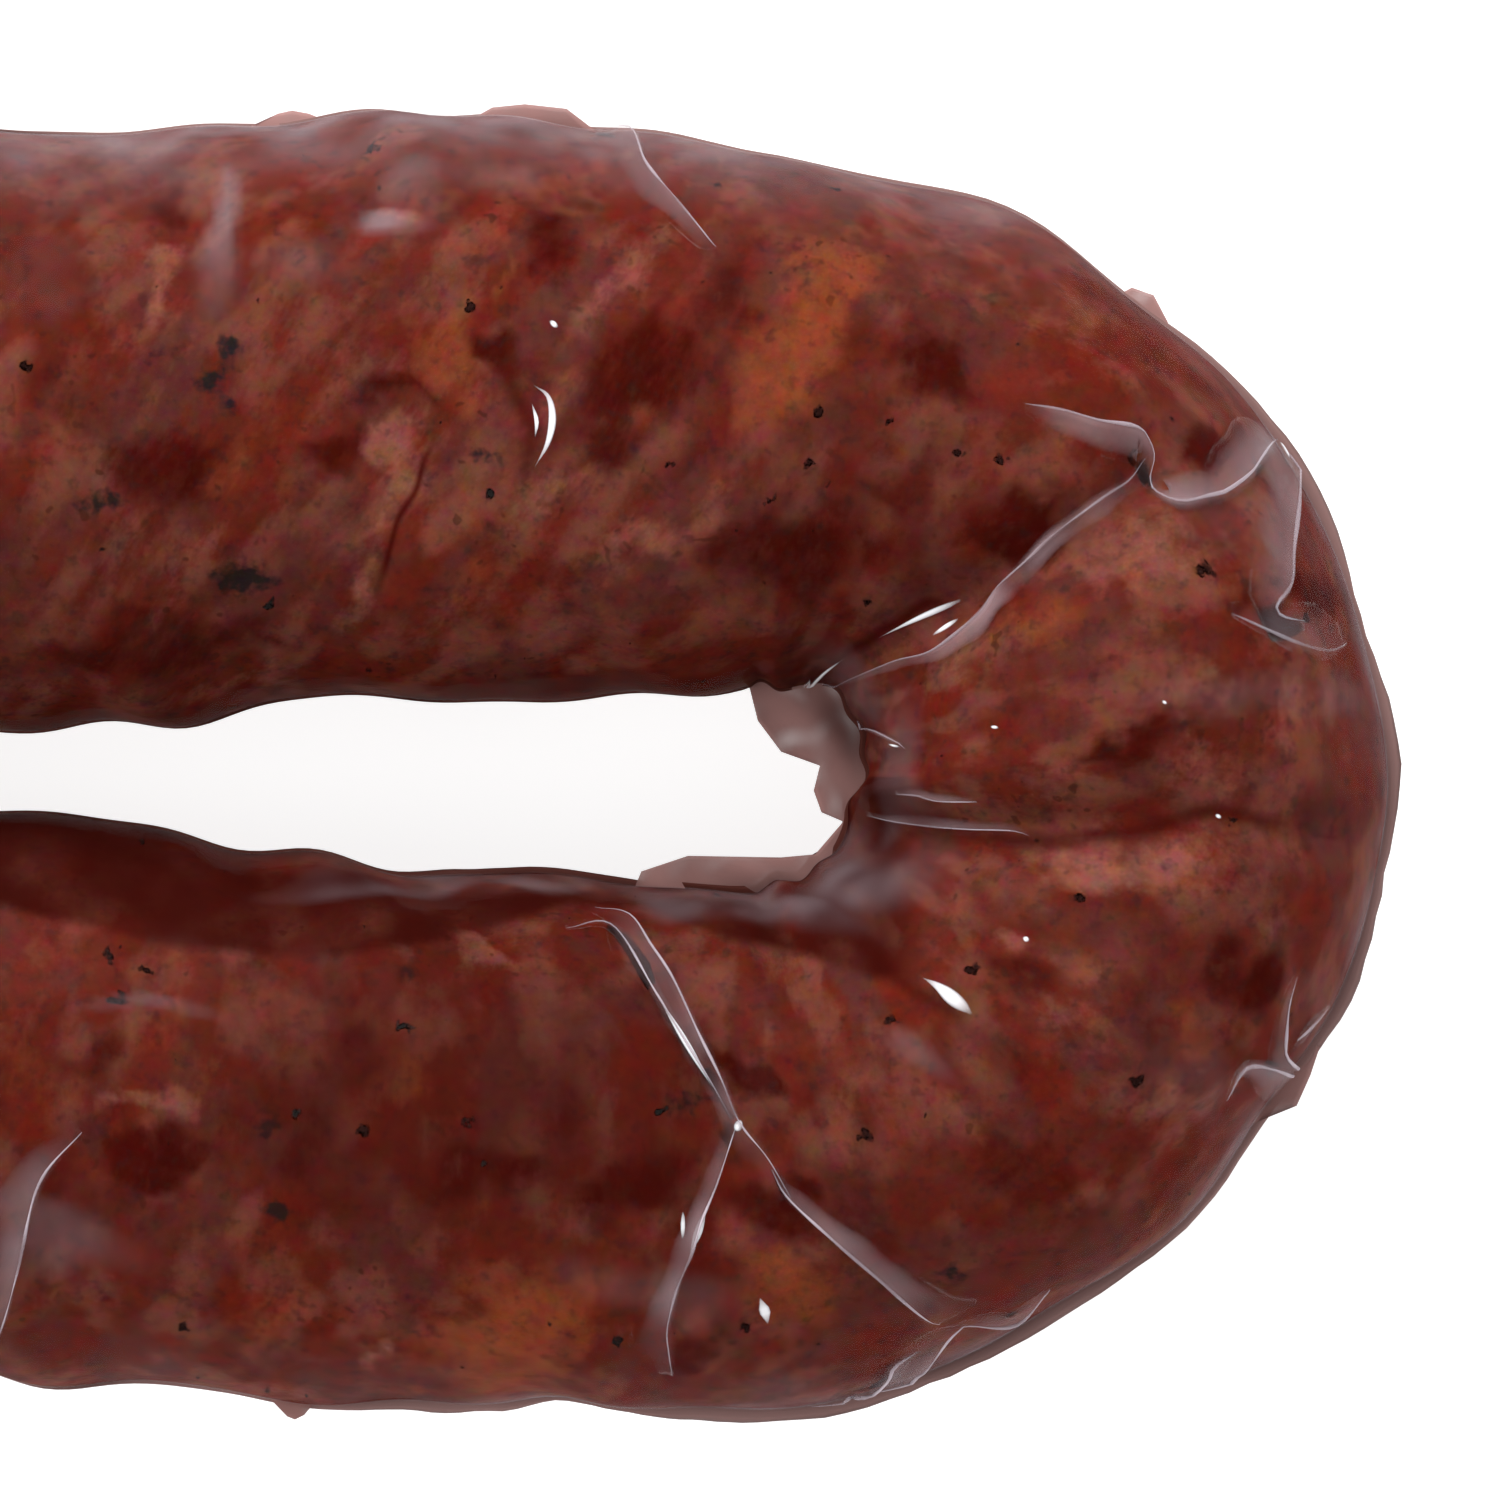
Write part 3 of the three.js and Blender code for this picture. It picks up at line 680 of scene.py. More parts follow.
# The film over the meat: clear, with a thin sheen at grazing angles and milky where it bunches.
film = {
    "gap": 0.05,
    "milkTone": (0.40, 0.32, 0.345),
    "gloss": 0.13,
    "sheen": 0.035,
    "facingShare": 0.015,
    "lowest": 0.04,  # of the film over the table
    "milkShare": 0.36,  # of a patch at full strength
    "mostMilk": 0.8,
    "waver": [(0.6, 8, 23), (0.6, 8, 24)],  # of the patches' edges, height, wavelength and seed
    "streaks": (9, 25, 0.9, 2, 0.3),  # away from the bend: wavelength, seed, from, to, share
    "wisps": [(0.3, 9, 26), (0.16, 3.5, 27)],
    "hazeAndReflection": {"least": 0.05, "upperArm": 0.26, "cutWide": 0.24},  # milky haze on the outer flank, partly painted reflection of the table
    # milky patches of film; those along the upper edge are partly painted reflection
    "milk": [
        (-34, 36, 9.5, 2, 84, 0.5), (33.3, 22.3, 4.4, 1.7, -75, 1.5), (-21.5, 39, 5, 4.5, 60, 0.3),
        (-22.7, 35.6, 3.6, 1, 8, 0.75), (-29, 33, 2.5, 6, 85, 0.16), (-46, 33, 5, 4, 60, 0.15),
        (-15, 40, 10, 4, 5, 0.25), (-40, 41, 14, 2.5, 5, 0.25), (11.5, 37.5, 14, 4, -14, 0.2),
        (-46.5, -29, 3, 12, 72, 0.3), (-38.5, -15, 1, 8, 86, 0.25), (11, -18.5, 5, 1.5, -35, 0.25),
        (7.5, -6.5, 8, 4, 10, 0.45), (6.5, 5.5, 8, 2.6, -50, 0.25), (9.5, 0, 9, 2.2, 85, 0.22),
        (-1, -8.2, 14, 2.4, -8, 0.5), (-16, -6.6, 22, 1.5, 2, 0.42), (38.5, 5, 2.5, 21, 88, 0.25),
        (33.5, -24, 4, 16, 45, 0.22), (-7, -33, 3, 9, 75, 0.18), (3, -39.5, 10.5, 1.6, 3, 0.2),
        (35, 16.5, 3, 10.5, 88, 0.15),
    ],
}


# Film: clear, turned milky by an attribute or an even share, under a sheen whose share is the fifth
# power of one less the cosine of the angle it is met at, so that it grows towards grazing.
def filmMaterial(name, milkShare, tone, gloss, sheenShare, creaseBump=0.0):
    material, tree = newMaterial(name)
    white = {"Color": (1, 1, 1, 1)}
    clear = addNode(tree, "ShaderNodeBsdfTransparent", None, white)
    sheen = addNode(tree, "ShaderNodeBsdfGlossy", None, {**white, "Roughness": gloss})
    facing = addNode(tree, "ShaderNodeLayerWeight", None, {"Blend": 0.5}).outputs["Facing"]
    grazing = calculate(tree, "POWER", facing, 5)
    grazing = calculate(tree, "MULTIPLY_ADD", grazing, sheenShare, sheenShare * film["facingShare"])
    milky = addNode(tree, "ShaderNodeBsdfDiffuse")
    if len(tone) == 2:  # from the tone at the free edge to the tone at the root
        tree.links.new(mixColours(tree, readAttribute(tree, "rooted"), *tone), milky.inputs["Color"])
    else:
        milky.inputs["Color"].default_value = (*tone, 1)
    if creaseBump:
        place = objectPlace(tree)
        sockets = {"Height": noiseField(tree, place, 500, 1), "Strength": creaseBump, "Distance": 0.0008}
        normal = addNode(tree, "ShaderNodeBump", None, sockets).outputs["Normal"]
        tree.links.new(normal, sheen.inputs["Normal"])
    share = readAttribute(tree, milkShare) if isinstance(milkShare, str) else milkShare
    body = mixShaders(tree, share, clear, milky)
    toSurface(tree, mixShaders(tree, grazing, body, sheen))
    return material


def makeFilm():
    along, turn = ropeGrid()
    plain = surfacePoint(along, turn)
    grid = surfacePoint(along, turn, film["gap"] - lumpsAt(plain, along, turn))
    grid[..., 2] = np.where(plain[..., 2] <= 0, film["lowest"], grid[..., 2])
    x, y = (seen + ripples(plain, waver) for seen, waver in zip(asSeen(plain), film["waver"]))
    placed = patchField(x, y, film["milk"], 0.6) * ramp(np.sin(turn), -0.2, 0.2)
    away = 1 - ramp(plain[..., 0], -60, -50) * ramp(np.sin(turn), -0.3, 0.1)
    wavelength, seed, start, end, most = film["streaks"]
    streaks = most * ramp(ripple(plain * [0.4, 1, 1], wavelength, seed), start, end) * away
    # Milky haze on the outer flank: partly loose film, partly painted reflection of the table at grazing,
    # most along the upper arm's edge and where the rim was left wide
    outerFlank = (1 - ramp(np.sin(turn), 0.12, 0.8)) * ramp(np.cos(turn), 0, 0.3)
    hazeAndReflection = film["hazeAndReflection"]["least"] + film["hazeAndReflection"]["upperArm"] * ramp(along, halfArc - 20, halfArc + 6)
    wide = film["hazeAndReflection"]["cutWide"] * cutWide(along) * (1 - ramp(np.sin(turn), 0, 0.45))
    hazeAndReflection = np.maximum(hazeAndReflection, wide) * outerFlank * (0.15 + 0.85 * ramp(np.sin(turn), -0.6, -0.05))
    hazeAndReflection = hazeAndReflection * (0.35 + 0.65 * ramp(-along, -100, -80))
    wisps = np.clip(0.8 + ripples(plain, *film["wisps"]), 0.2, 1.4)
    milk = np.maximum(np.maximum(film["milkShare"] * placed, streaks), hazeAndReflection)
    attributes = {"milk": [np.clip(milk * wisps, 0, film["mostMilk"])]}
    material = filmMaterial("clear_film", "milk", film["milkTone"], film["gloss"], film["sheen"])
    putSurface("clear_film", [grid], material, attributes)


# Folds pinched up from the film: route in plan, width of the milky band at each of its points, side
# of the band's bright edge, height.
folds = {
    "spacing": 0.45,
    "bandTone": (0.31, 0.215, 0.23),
    "edgeTone": (0.52, 0.44, 0.49),
    "edgeRadius": 0.085,
    "edgeSides": 6,
    "uneven": (0.18, 3, 60),  # random fields along a fold, as height, wavelength and seed
    "cloud": (0.35, 4.5, 63),
    "beading": (0.4, 4, 61),
    "glow": (0.3, 5, 62),
    "edgeShare": 0.86,  # where along the half width the bright edge lies: on the route itself
    "section": [  # share of the half width, share of the height, milkiness
        (-1.3, -0.5, 0), (-1, 0.1, 0), (-0.7, 0.22, 0.12), (-0.2, 0.34, 0.26), (0.4, 0.6, 0.34),
        (0.85, 1, 0.5), (1.05, 0.5, 0.2), (1.3, -0.5, 0), (0.4, -0.6, 0), (-0.5, -0.6, 0),
    ],
    "milkiness": {  # of some bands, against the others' 1
        "stem": 0.95, "foot": 0.6, "top": 0.9, "shoulder_right": 2, "crook_upper": 1.35, "branch": 1.4,
        "long_left": 0.5, "long_right": 0.75, "long_lower": 1.2,
    },
    "lines": {  # brightness of some edges, whitened film that is partly painted highlight
        "stem": 0.6, "foot": 0.3, "crook_upper": 0.5, "shoulder_left": 0.55, "shoulder_right": 0.7,
        "top": 0.8,
    },
    "pinches": {
        "top": ([(-9.9, 42.5), (-7.7, 41.4), (-6.7, 39.1), (-4.8, 36.9), (-2.7, 34.5), (-2.2, 34)],
            [2.6, 2.4, 1.8, 1.3, 0.7, 0.3], 1, 0.45),
        "shoulder_left": ([(17.7, 23.9), (20.1, 23.4), (22.4, 22.7), (24.8, 22.3), (25.6, 21.4),
            (25.9, 20.5), (25.7, 19.3), (25.9, 18.4)],
            [0.5, 1.5, 1.9, 1.9, 1.5, 1.1, 0.8, 0.4], 1, 0.5),
        "shoulder_right": ([(25.7, 19.3), (25.9, 18.4), (26.6, 17.8), (27.8, 17.4), (29.4, 17.8),
            (30.6, 18.2), (32, 19.2), (32.7, 20.2), (33.4, 21.2), (33.9, 21.6)],
            [0.4, 0.9, 1.3, 1.6, 1.6, 1.4, 1.5, 1.6, 1.3, 0.6], -1, 0.5),
        "crook_upper": ([(25.4, 20.4), (24.3, 19), (22.7, 18), (19.4, 15.6), (17.8, 13.9),
            (16.1, 12.1), (14.9, 10.2), (12.1, 8), (9.6, 7.4), (7, 6.4), (3.2, 5)],
            [0.5, 0.9, 0.9, 1.3, 1.5, 1.5, 1.3, 1.1, 1, 0.8, 0.5], -1, 0.5),
        "stem": ([(34.2, 21.3), (35.1, 20.7), (35.1, 18.1), (34.7, 14.6), (34.6, 12.3), (33.7, 10.9),
            (34.1, 10.2), (35.7, 9.9)],
            [0.8, 1.6, 2.3, 2.4, 2.3, 1.7, 1, 0.4], 1, 0.45),
        "foot": ([(31, 10.4), (33.2, 9.3), (35.3, 8.4), (37.2, 8), (38.4, 8.5)],
            [0.5, 1.2, 1.6, 1.6, 0.7], -1, 0.35),
        "mid": ([(7.6, -2.6), (9.6, -2.9), (13.7, -3.3), (16.8, -3.5), (18, -3.9)],
            [0.5, 0.8, 0.8, 0.6, 0.3], -1, 0.35),
        "mid_short": ([(9.4, -1.2), (10.9, -1.2), (12.1, -1.5), (14.6, -1.7)],
            [0.4, 0.7, 0.7, 0.3], -1, 0.3),
        "swirl": ([(5.7, 2.9), (7.6, 3), (9.6, 2.1), (10, 1.7)], [0.3, 0.5, 0.5, 0.3], 1, 0.3),
        "long_right": ([(-10, -8.6), (-7.8, -9.2), (-6.4, -11.2), (-4.9, -13.4), (-3.3, -16.7),
            (-1.8, -19.6), (-0.7, -22.3), (1.1, -24.5), (2.6, -27.2)],
            [0.6, 1.5, 2, 2, 1.8, 1.6, 1.4, 1.2, 0.7], 1, 0.6),
        "long_lower": ([(1.4, -25.4), (2.4, -27.2), (5.1, -29.6), (8.4, -32.3), (11.3, -34.9),
            (12.2, -35.3)],
            [0.5, 0.8, 1, 1.4, 2, 1.2], -1, 0.5),
        "long_left": ([(-11.8, -9.9), (-8.9, -9.9), (-6.2, -14.1), (-4.3, -17.2), (-2.4, -20.1),
            (-1.2, -22.2)],
            [0.5, 0.8, 0.6, 0.6, 0.6, 0.5], -1, 0.5),
        "branch": ([(-0.9, -22.6), (-2.3, -26.3), (-3.3, -28.7), (-3.8, -30.7), (-4.7, -32.9),
            (-5.3, -35.4), (-5.2, -37), (-5, -38.6)],
            [0.6, 0.9, 1, 1.2, 1.3, 1.7, 1.9, 1], 1, 0.5),
        "heel": ([(7.8, -40.4), (9.4, -39.3), (11.1, -38.1), (12.7, -36.2), (13.8, -35.4)],
            [1, 1.8, 2, 1.8, 1], -1, 0.4),
        "heel_inner": ([(4, -40.7), (6.7, -39.8), (8.6, -39.1), (9.2, -37.9), (10.8, -37.1)],
            [0.5, 0.8, 0.7, 0.8, 0.4], 1, 0.4),
        "heel_tail": ([(13.6, -35.5), (14.3, -35.3), (17, -35.1), (19.3, -33.1)],
            [0.6, 0.9, 0.9, 0.4], -1, 0.4),
        "corner_tall": ([(35.2, -13), (34.5, -14.9), (34.2, -17.1), (34.3, -18), (35, -18.7),
            (36, -19.3)],
            [0.3, 0.6, 0.8, 0.8, 0.7, 0.5], 1, 0.45),
        "corner_low": ([(30.7, -20.9), (31.4, -19.2), (32.1, -18.6), (33.5, -18.8), (34.8, -19.3),
            (35.9, -19.7)],
            [0.4, 0.7, 0.8, 1, 1.2, 1.2], 1, 0.4),
        "corner_side": ([(35.2, -17.1), (36.2, -15.9), (37.3, -14.9)], [0.6, 0.9, 0.4], 1, 0.25),
        "left_low": ([(-43, -23), (-45.9, -26.4), (-47.3, -31.7), (-48.3, -35.6), (-49.3, -38)],
            [0.8, 1.9, 1.8, 1.6, 0.8], 1, 0.5),
        "far_upper_a": ([(-80, 30), (-84, 24), (-83, 16), (-88, 10)], [0.6, 1.4, 1.3, 0.5], 1, 0.6),
        "far_upper_b": ([(-84, 24), (-92, 22), (-98, 26)], [0.9, 1, 0.4], 1, 0.5),
        "far_upper_c": ([(-118, 34), (-124, 26), (-132, 24), (-138, 16)],
            [0.6, 1.5, 1.2, 0.5], -1, 0.6),
        "far_lower_a": ([(-76, -30), (-82, -22), (-80, -14), (-84, -7)], [0.5, 1.4, 1.3, 0.5], 1, 0.6),
        "far_lower_b": ([(-104, -8), (-110, -16), (-108, -26), (-116, -32)],
            [0.5, 1.3, 1.4, 0.5], -1, 0.6),
        "far_lower_c": ([(-110, -16), (-120, -18), (-130, -12)], [0.9, 1, 0.4], 1, 0.5),
    },
}


# A smooth curve through points: Catmull-Rom, each span a cubic through its ends, evenly spaced.
def smoothRoute(points, values, spacing):
    known = np.column_stack([np.asarray(points, float), values])
    padded = np.vstack([2 * known[0] - known[1], known, 2 * known[-1] - known[-2]])
    t = np.linspace(0, 1, 12, endpoint=False)[:, None]
    spans = []
    for before, start, end, after in zip(padded[:-3], padded[1:-2], padded[2:-1], padded[3:]):
        squared = 2 * before - 5 * start + 4 * end - after
        cubed = 3 * start - before - 3 * end + after
        spans.append(0.5 * (2 * start + (end - before) * t + squared * t**2 + cubed * t**3))
    dense = np.vstack(spans + [known[-1:]])
    length = np.concatenate([[0], np.cumsum(np.hypot(*np.diff(dense[:, :2], axis=0).T))])
    count = max(6, int(length[-1] / spacing))
    even = np.linspace(0, length[-1], count)
    return np.stack([np.interp(even, length, column) for column in dense.T], -1)


# Outward normals of the surface at places on the rope, from two short steps.
def surfaceNormal(along, turn):
    alongStep, turnStep = ropeForm["probe"]
    point = surfacePoint(along, turn)
    onward = surfacePoint(along + alongStep, turn) - point
    around = surfacePoint(along, turn + turnStep) - point
    normal = np.cross(around, onward)
    normal /= np.linalg.norm(normal, axis=-1, keepdims=True) + 1e-9
    centreX, centreY = centreLine(along)[:2]
    fromCentre = point - np.stack([centreX, centreY, girth(along)[2] + 0 * centreX], -1)
    return normal * np.sign((normal * fromCentre).sum(-1, keepdims=True))


# Points beside and above a route that lies on the rope: the offset across is laid off on the
# unrolled surface, the offset up along the normal.
def besideRoute(along, turn, across, up):
    radius = ropeForm["meanRadius"]
    way = np.stack([np.gradient(along), np.gradient(turn) * radius], -1)
    way /= np.linalg.norm(way, axis=-1, keepdims=True) + 1e-9
    placeAlong = along[:, None] - way[:, 1:2] * across
    placeTurn = turn[:, None] + way[:, 0:1] * across / radius
    return surfacePoint(placeAlong, placeTurn) + surfaceNormal(placeAlong, placeTurn) * up[..., None]


# A fold: a low ridge that rises gently across its band and drops steeply at its bright edge, along
# which a fine crease runs, whitened film whose light tone is partly a painted highlight. The band
# turns from clear to milky towards that edge.
def makeFolds():
    section = np.array(folds["section"])
    bands, milk, edges, shine = [], [], [], []
    for name, (route, widths, side, height) in folds["pinches"].items():
        path = smoothRoute(route, widths, folds["spacing"])
        along, turn = seenOnRope(path[:, 0], path[:, 1])
        half = path[:, 2:3] / 2
        flat = np.column_stack([path[:, :2], 0 * along])[:, None]
        share = np.linspace(0, 1, len(path))[:, None]
        taper = taperOf(share, 0.02)
        uneven = 1 + ripples(flat, folds["uneven"])
        crest = height * taper * np.minimum(1, half * 1.6 + 0.3)
        across = side * (section[None, :, 0] - folds["edgeShare"]) * half * uneven
        bands.append(besideRoute(along, turn, across, section[None, :, 1] * crest))
        cloud = np.clip(0.85 + ripples(flat, folds["cloud"]), 0.3, 1.25)
        milk.append(section[None, :, 2] * folds["milkiness"].get(name, 1) * cloud * taper**2)
        angle = anglesRound(folds["edgeSides"])
        radius = folds["edgeRadius"] * taper * (1 + ripples(1.3 * flat, folds["beading"]))
        edges.append(besideRoute(along, turn, radius * np.cos(angle), crest + radius * np.sin(angle)))
        # the crease's brightness: whitened film, partly painted highlight
        glow = folds["lines"].get(name, 1) * np.clip(0.5 + ripples(flat, folds["glow"]), 0.15, 0.95)
        shine.append(glow * np.sqrt(taper) + 0 * angle)
    band = filmMaterial("bunched_film", "milk", folds["bandTone"], 0.2, 0.06)
    edge = filmMaterial("creased_film", "shine", folds["edgeTone"], 0.1, 0.15)
    putSurface("film_folds", bands, band, {"milk": milk})
    putSurface("film_creases", edges, edge, {"shine": shine})


# Painted highlights: small smooth beads and streaks of white film laid where the tight film catches
# the light, each a route in plan and its widths
glints = {
    "spacing": 0.25,
    "sides": 16,
    "breadth": 1.5,
    "height": 0.55,
    "lift": 0.2,
    # the white of the painted highlights
    "tone": (0.80, 0.80, 0.83),
    "beads": [
        ([(-13.9, 25.1), (-13, 24.4), (-12.7, 23), (-13, 21.4), (-13.8, 19.9)],
         [0.06, 0.22, 0.34, 0.24, 0.06]),
        ([(-14, 23.9), (-13.7, 22.8), (-13.8, 21.8)], [0.08, 0.2, 0.08]),
        ([(-12.9, 29.2), (-12.4, 28.8)], [0.22, 0.22]),
        ([(11.2, -13.1), (12.1, -13.6), (13, -14.3), (13.9, -15), (14.3, -15.4)],
         [0.15, 0.5, 0.8, 0.75, 0.4]),
        ([(3.2, 5.7), (4, 6.3), (6, 7.6)], [0.6, 0.6, 0.15]),
        ([(8.4, 9), (10.9, 10.2), (13.6, 11.3)], [0.1, 0.4, 0.65]),
        ([(11.9, 9), (13.5, 10)], [0.3, 0.35]), ([(9.1, 2), (9.8, 1.8)], [0.2, 0.3]),
        ([(34.1, 21), (34.4, 20.6)], [0.6, 0.5]), ([(-1, -22.4), (-0.5, -22.8)], [0.6, 0.5]),
        ([(-2.9, -27.8), (-3.4, -29.4), (-3.9, -30.8)], [0.15, 0.4, 0.15]),
        ([(-4.4, -28.1), (-4.4, -29.8)], [0.2, 0.2]),
        ([(-6, -14.3), (-4.2, -17.3), (-2.5, -20.1)], [0.1, 0.35, 0.15]),
        ([(0.6, -33.6), (0.9, -34.4), (1.1, -35.2)], [0.1, 0.35, 0.1]),
        ([(17.6, -10.5), (18, -10.7)], [0.25, 0.3]), ([(26.5, 4.8), (26.8, 4.6)], [0.12, 0.12]),
        ([(29.9, -2.5), (30.3, -2.7)], [0.16, 0.16]), ([(15.6, 3.1), (16.1, 3)], [0.2, 0.2]),
    ],
}


# A bead: a low dome across its width, drawn out along its route and thin at both ends, white as a painted
# highlight.
def makeGlints():
    grids, shine = [], []
    for route, widths in glints["beads"]:
        path = smoothRoute(route, widths, glints["spacing"])
        along, turn = seenOnRope(path[:, 0], path[:, 1])
        angle = anglesRound(glints["sides"])
        share = np.linspace(0, 1, len(path))[:, None]
        taper = taperOf(share, 0.03)
        half = path[:, 2:3] / 2 * taper
        across = glints["breadth"] * half * np.cos(angle)
        up = glints["lift"] + glints["height"] * half * np.sin(angle)
        grids.append(besideRoute(along, turn, across, up))
        # painted highlight: white on the dome's top, fading to its edges and ends
        shine.append(ramp(np.sin(angle), 0.1, 0.95) * taper**2)
    material = filmMaterial("painted_highlight_film", "shine", glints["tone"], 0.06, 0.1)
    putSurface("film_painted_glints", grids, material, {"shine": shine})


# The trimmed rim of film round the rope at mid height, and flat scraps of film
rim = {
    "steps": (0.8, 2.0, 56),
    "outer": 0.9,
    "inner": 0.5,
    "thickness": 0.2,
    "root": 0.5,
    "tones": ((0.230, 0.130, 0.121), (0.085, 0.024, 0.018)),  # outside the bend, inside it
    "share": 0.93,
    "blade": [(-1, 1), (0.5, 0.7), (1, 0), (0.5, -0.7), (-1, -1)],  # its section: out, up
    "leastWidth": 0.06,
    "lift": 0.15,
    "narrow": 0.15,  # share of its width left away from the stretch where the film was cut wide
    "wide": (-66, -50, 6, 22),  # along, where it grows to its full width and where it narrows again
}
scraps = {
    "level": 16,
    "thickness": 0.22,
    "tones": ((0.40, 0.225, 0.21), (0.15, 0.060, 0.050)),  # at the free edge, at the root
    "milk": 0.9,
    "webEdge": [(0, 5.5), (0.5, 3.5), (2, 1.5), (4.5, 0.6), (4.1, -1), (4.6, -2.4), (6, -3), (4.2, -5.1),
                (2, -5.3), (-4, -5.2), (-7, -6.2)],
    "webRoot": [(-1, 8.5), (3, 8.6), (6.6, 7.8), (9.5, 5.5), (10.5, 1.5), (11, -1), (10.5, -4), (9, -7.5),
                (5, -10), (-2, -9.5), (-8, -8.6)],
    "tabs": [  # the edge at its root, its free edge, how far it is meat-toned at each
        ([(22, 30), (25, 29), (27.6, 27)], [(24.6, 31.4), (26, 30.9), (26.9, 29.2)], 0, 0.5),
        ([(33, -16), (33, -19), (31, -23)], [(36.7, -17.5), (36.1, -19.3), (35.2, -21.3)], 0.2, 0.8),
        ([(-33, -38), (-30, -38), (-26, -38)], [(-29.8, -41.3), (-29.3, -41.5), (-28.7, -41.2)], 0.5, 1),
        ([(-36, 40), (-29.5, 40), (-22, 40)], [(-30.4, 42.6), (-29.5, 42.8), (-28.4, 42.6)], 0, 0.5),
        ([(-21, 40.5), (-15, 40.5), (-8, 40)], [(-16.6, 43), (-14.5, 43.2), (-11.8, 42.9)], 0, 0.5),
    ],
}


# How far the rim was left wide: smooth steps up and down along the rope.
def cutWide(along):
    growFrom, growTo, shrinkFrom, shrinkTo = rim["wide"]
    return ramp(along, growFrom, growTo) * (1 - ramp(along, shrinkFrom, shrinkTo))


# A rim: a thin closed strip whose section is a rounded blade, wide by a random field.
def makeRim():
    along = ringPlaces(*rim["steps"])[:, None]
    along = along[(along[:, 0] < armLength["upperArm"] - 1) & (along[:, 0] > 1 - armLength["lowerArm"])]
    opened = 1 - girth(along)[3]
    bladeOut, bladeUp = np.array(rim["blade"]).T[:, None]
    wide = cutWide(along[:, 0])
    grids, rooted = [], []
    for turn, widest, seed in ((0.0, rim["outer"], 71), (math.pi, -rim["inner"], 72)):
        foot = surfacePoint(along, np.full(along.shape, turn))[:, 0]
        share = rim["narrow"] + (1 - rim["narrow"]) * wide
        width = abs(widest) * share * (0.75 + ripples(foot, (0.35, 14, seed), (0.08, 3, seed + 2)))
        width = np.clip(width, rim["leastWidth"], abs(widest))[:, None] * opened
        outX, outY = centreLine(along)[2:]
        reach = np.where(bladeOut < 0, -rim["root"], width * bladeOut) * math.copysign(1, widest)
        lift = rim["lift"] * ripple(foot, 11, seed + 4)[:, None] * np.maximum(0, bladeOut)
        height = foot[:, 2:3] + lift + bladeUp * rim["thickness"] / 2
        grids.append(np.stack([foot[:, 0:1] + outX * reach, foot[:, 1:2] + outY * reach, height], -1))
        rooted.append(np.full(grids[-1].shape[:2], float(widest < 0)))
    material = filmMaterial("trimmed_rim", rim["share"], rim["tones"], 0.2, 0.05)
    putSurface("film_rim", grids, material, {"rooted": rooted})


# A thin closed sheet between two edges: a straight line across at each place along, waved in height.
def sheetBetween(first, second, rows, columns, wave):
    first, second = np.asarray(first, float), np.asarray(second, float)
    places = np.linspace(0, len(first) - 1, rows)
    index = np.arange(len(first))
    start = np.stack([np.interp(places, index, c) for c in first.T], -1)[:, None]
    end = np.stack([np.interp(places, index, c) for c in second.T], -1)[:, None]
    share = np.linspace(0, 1, columns)[None, :, None]
    flat = start + (end - start) * share
    points = np.dstack([flat, np.full(flat.shape[:2], float(scraps["level"]))])
    points[..., 2] += wave * ripple(points, 5, 81)
    top, bottom = points.copy(), points.copy()
    top[..., 2] += scraps["thickness"] / 2
    bottom[..., 2] -= scraps["thickness"] / 2
    return np.concatenate([top, bottom[:, ::-1]], 1)


def makeScraps():
    grids = [sheetBetween(scraps["webEdge"], scraps["webRoot"], 81, 20, 0.4)]
    spans = [(0.35, 0.55)]
    for root, free, atFree, atRoot in scraps["tabs"]:
        grids.append(sheetBetween(free, root, 13, 10, 0.2))
        spans.append((atFree, atRoot))
    rooted, milk = [], []
    for grid, (atFree, atRoot) in zip(grids, spans):
        share = np.linspace(0, 1, grid.shape[1] // 2)
        share = np.broadcast_to(np.concatenate([share, share[::-1]]), grid.shape[:2])
        cloud = np.clip(1 + 0.2 * ripple(grid, 2.5, 83), 0.6, 1.1)
        rooted.append(np.clip(atFree + (atRoot - atFree) * share, 0, 1))
        milk.append(scraps["milk"] * cloud)
    material = filmMaterial("loose_film", "milk", scraps["tones"], 0.15, 0.05, 0.1)
    putSurface("film_scraps", grids, material, {"rooted": rooted, "milk": milk})


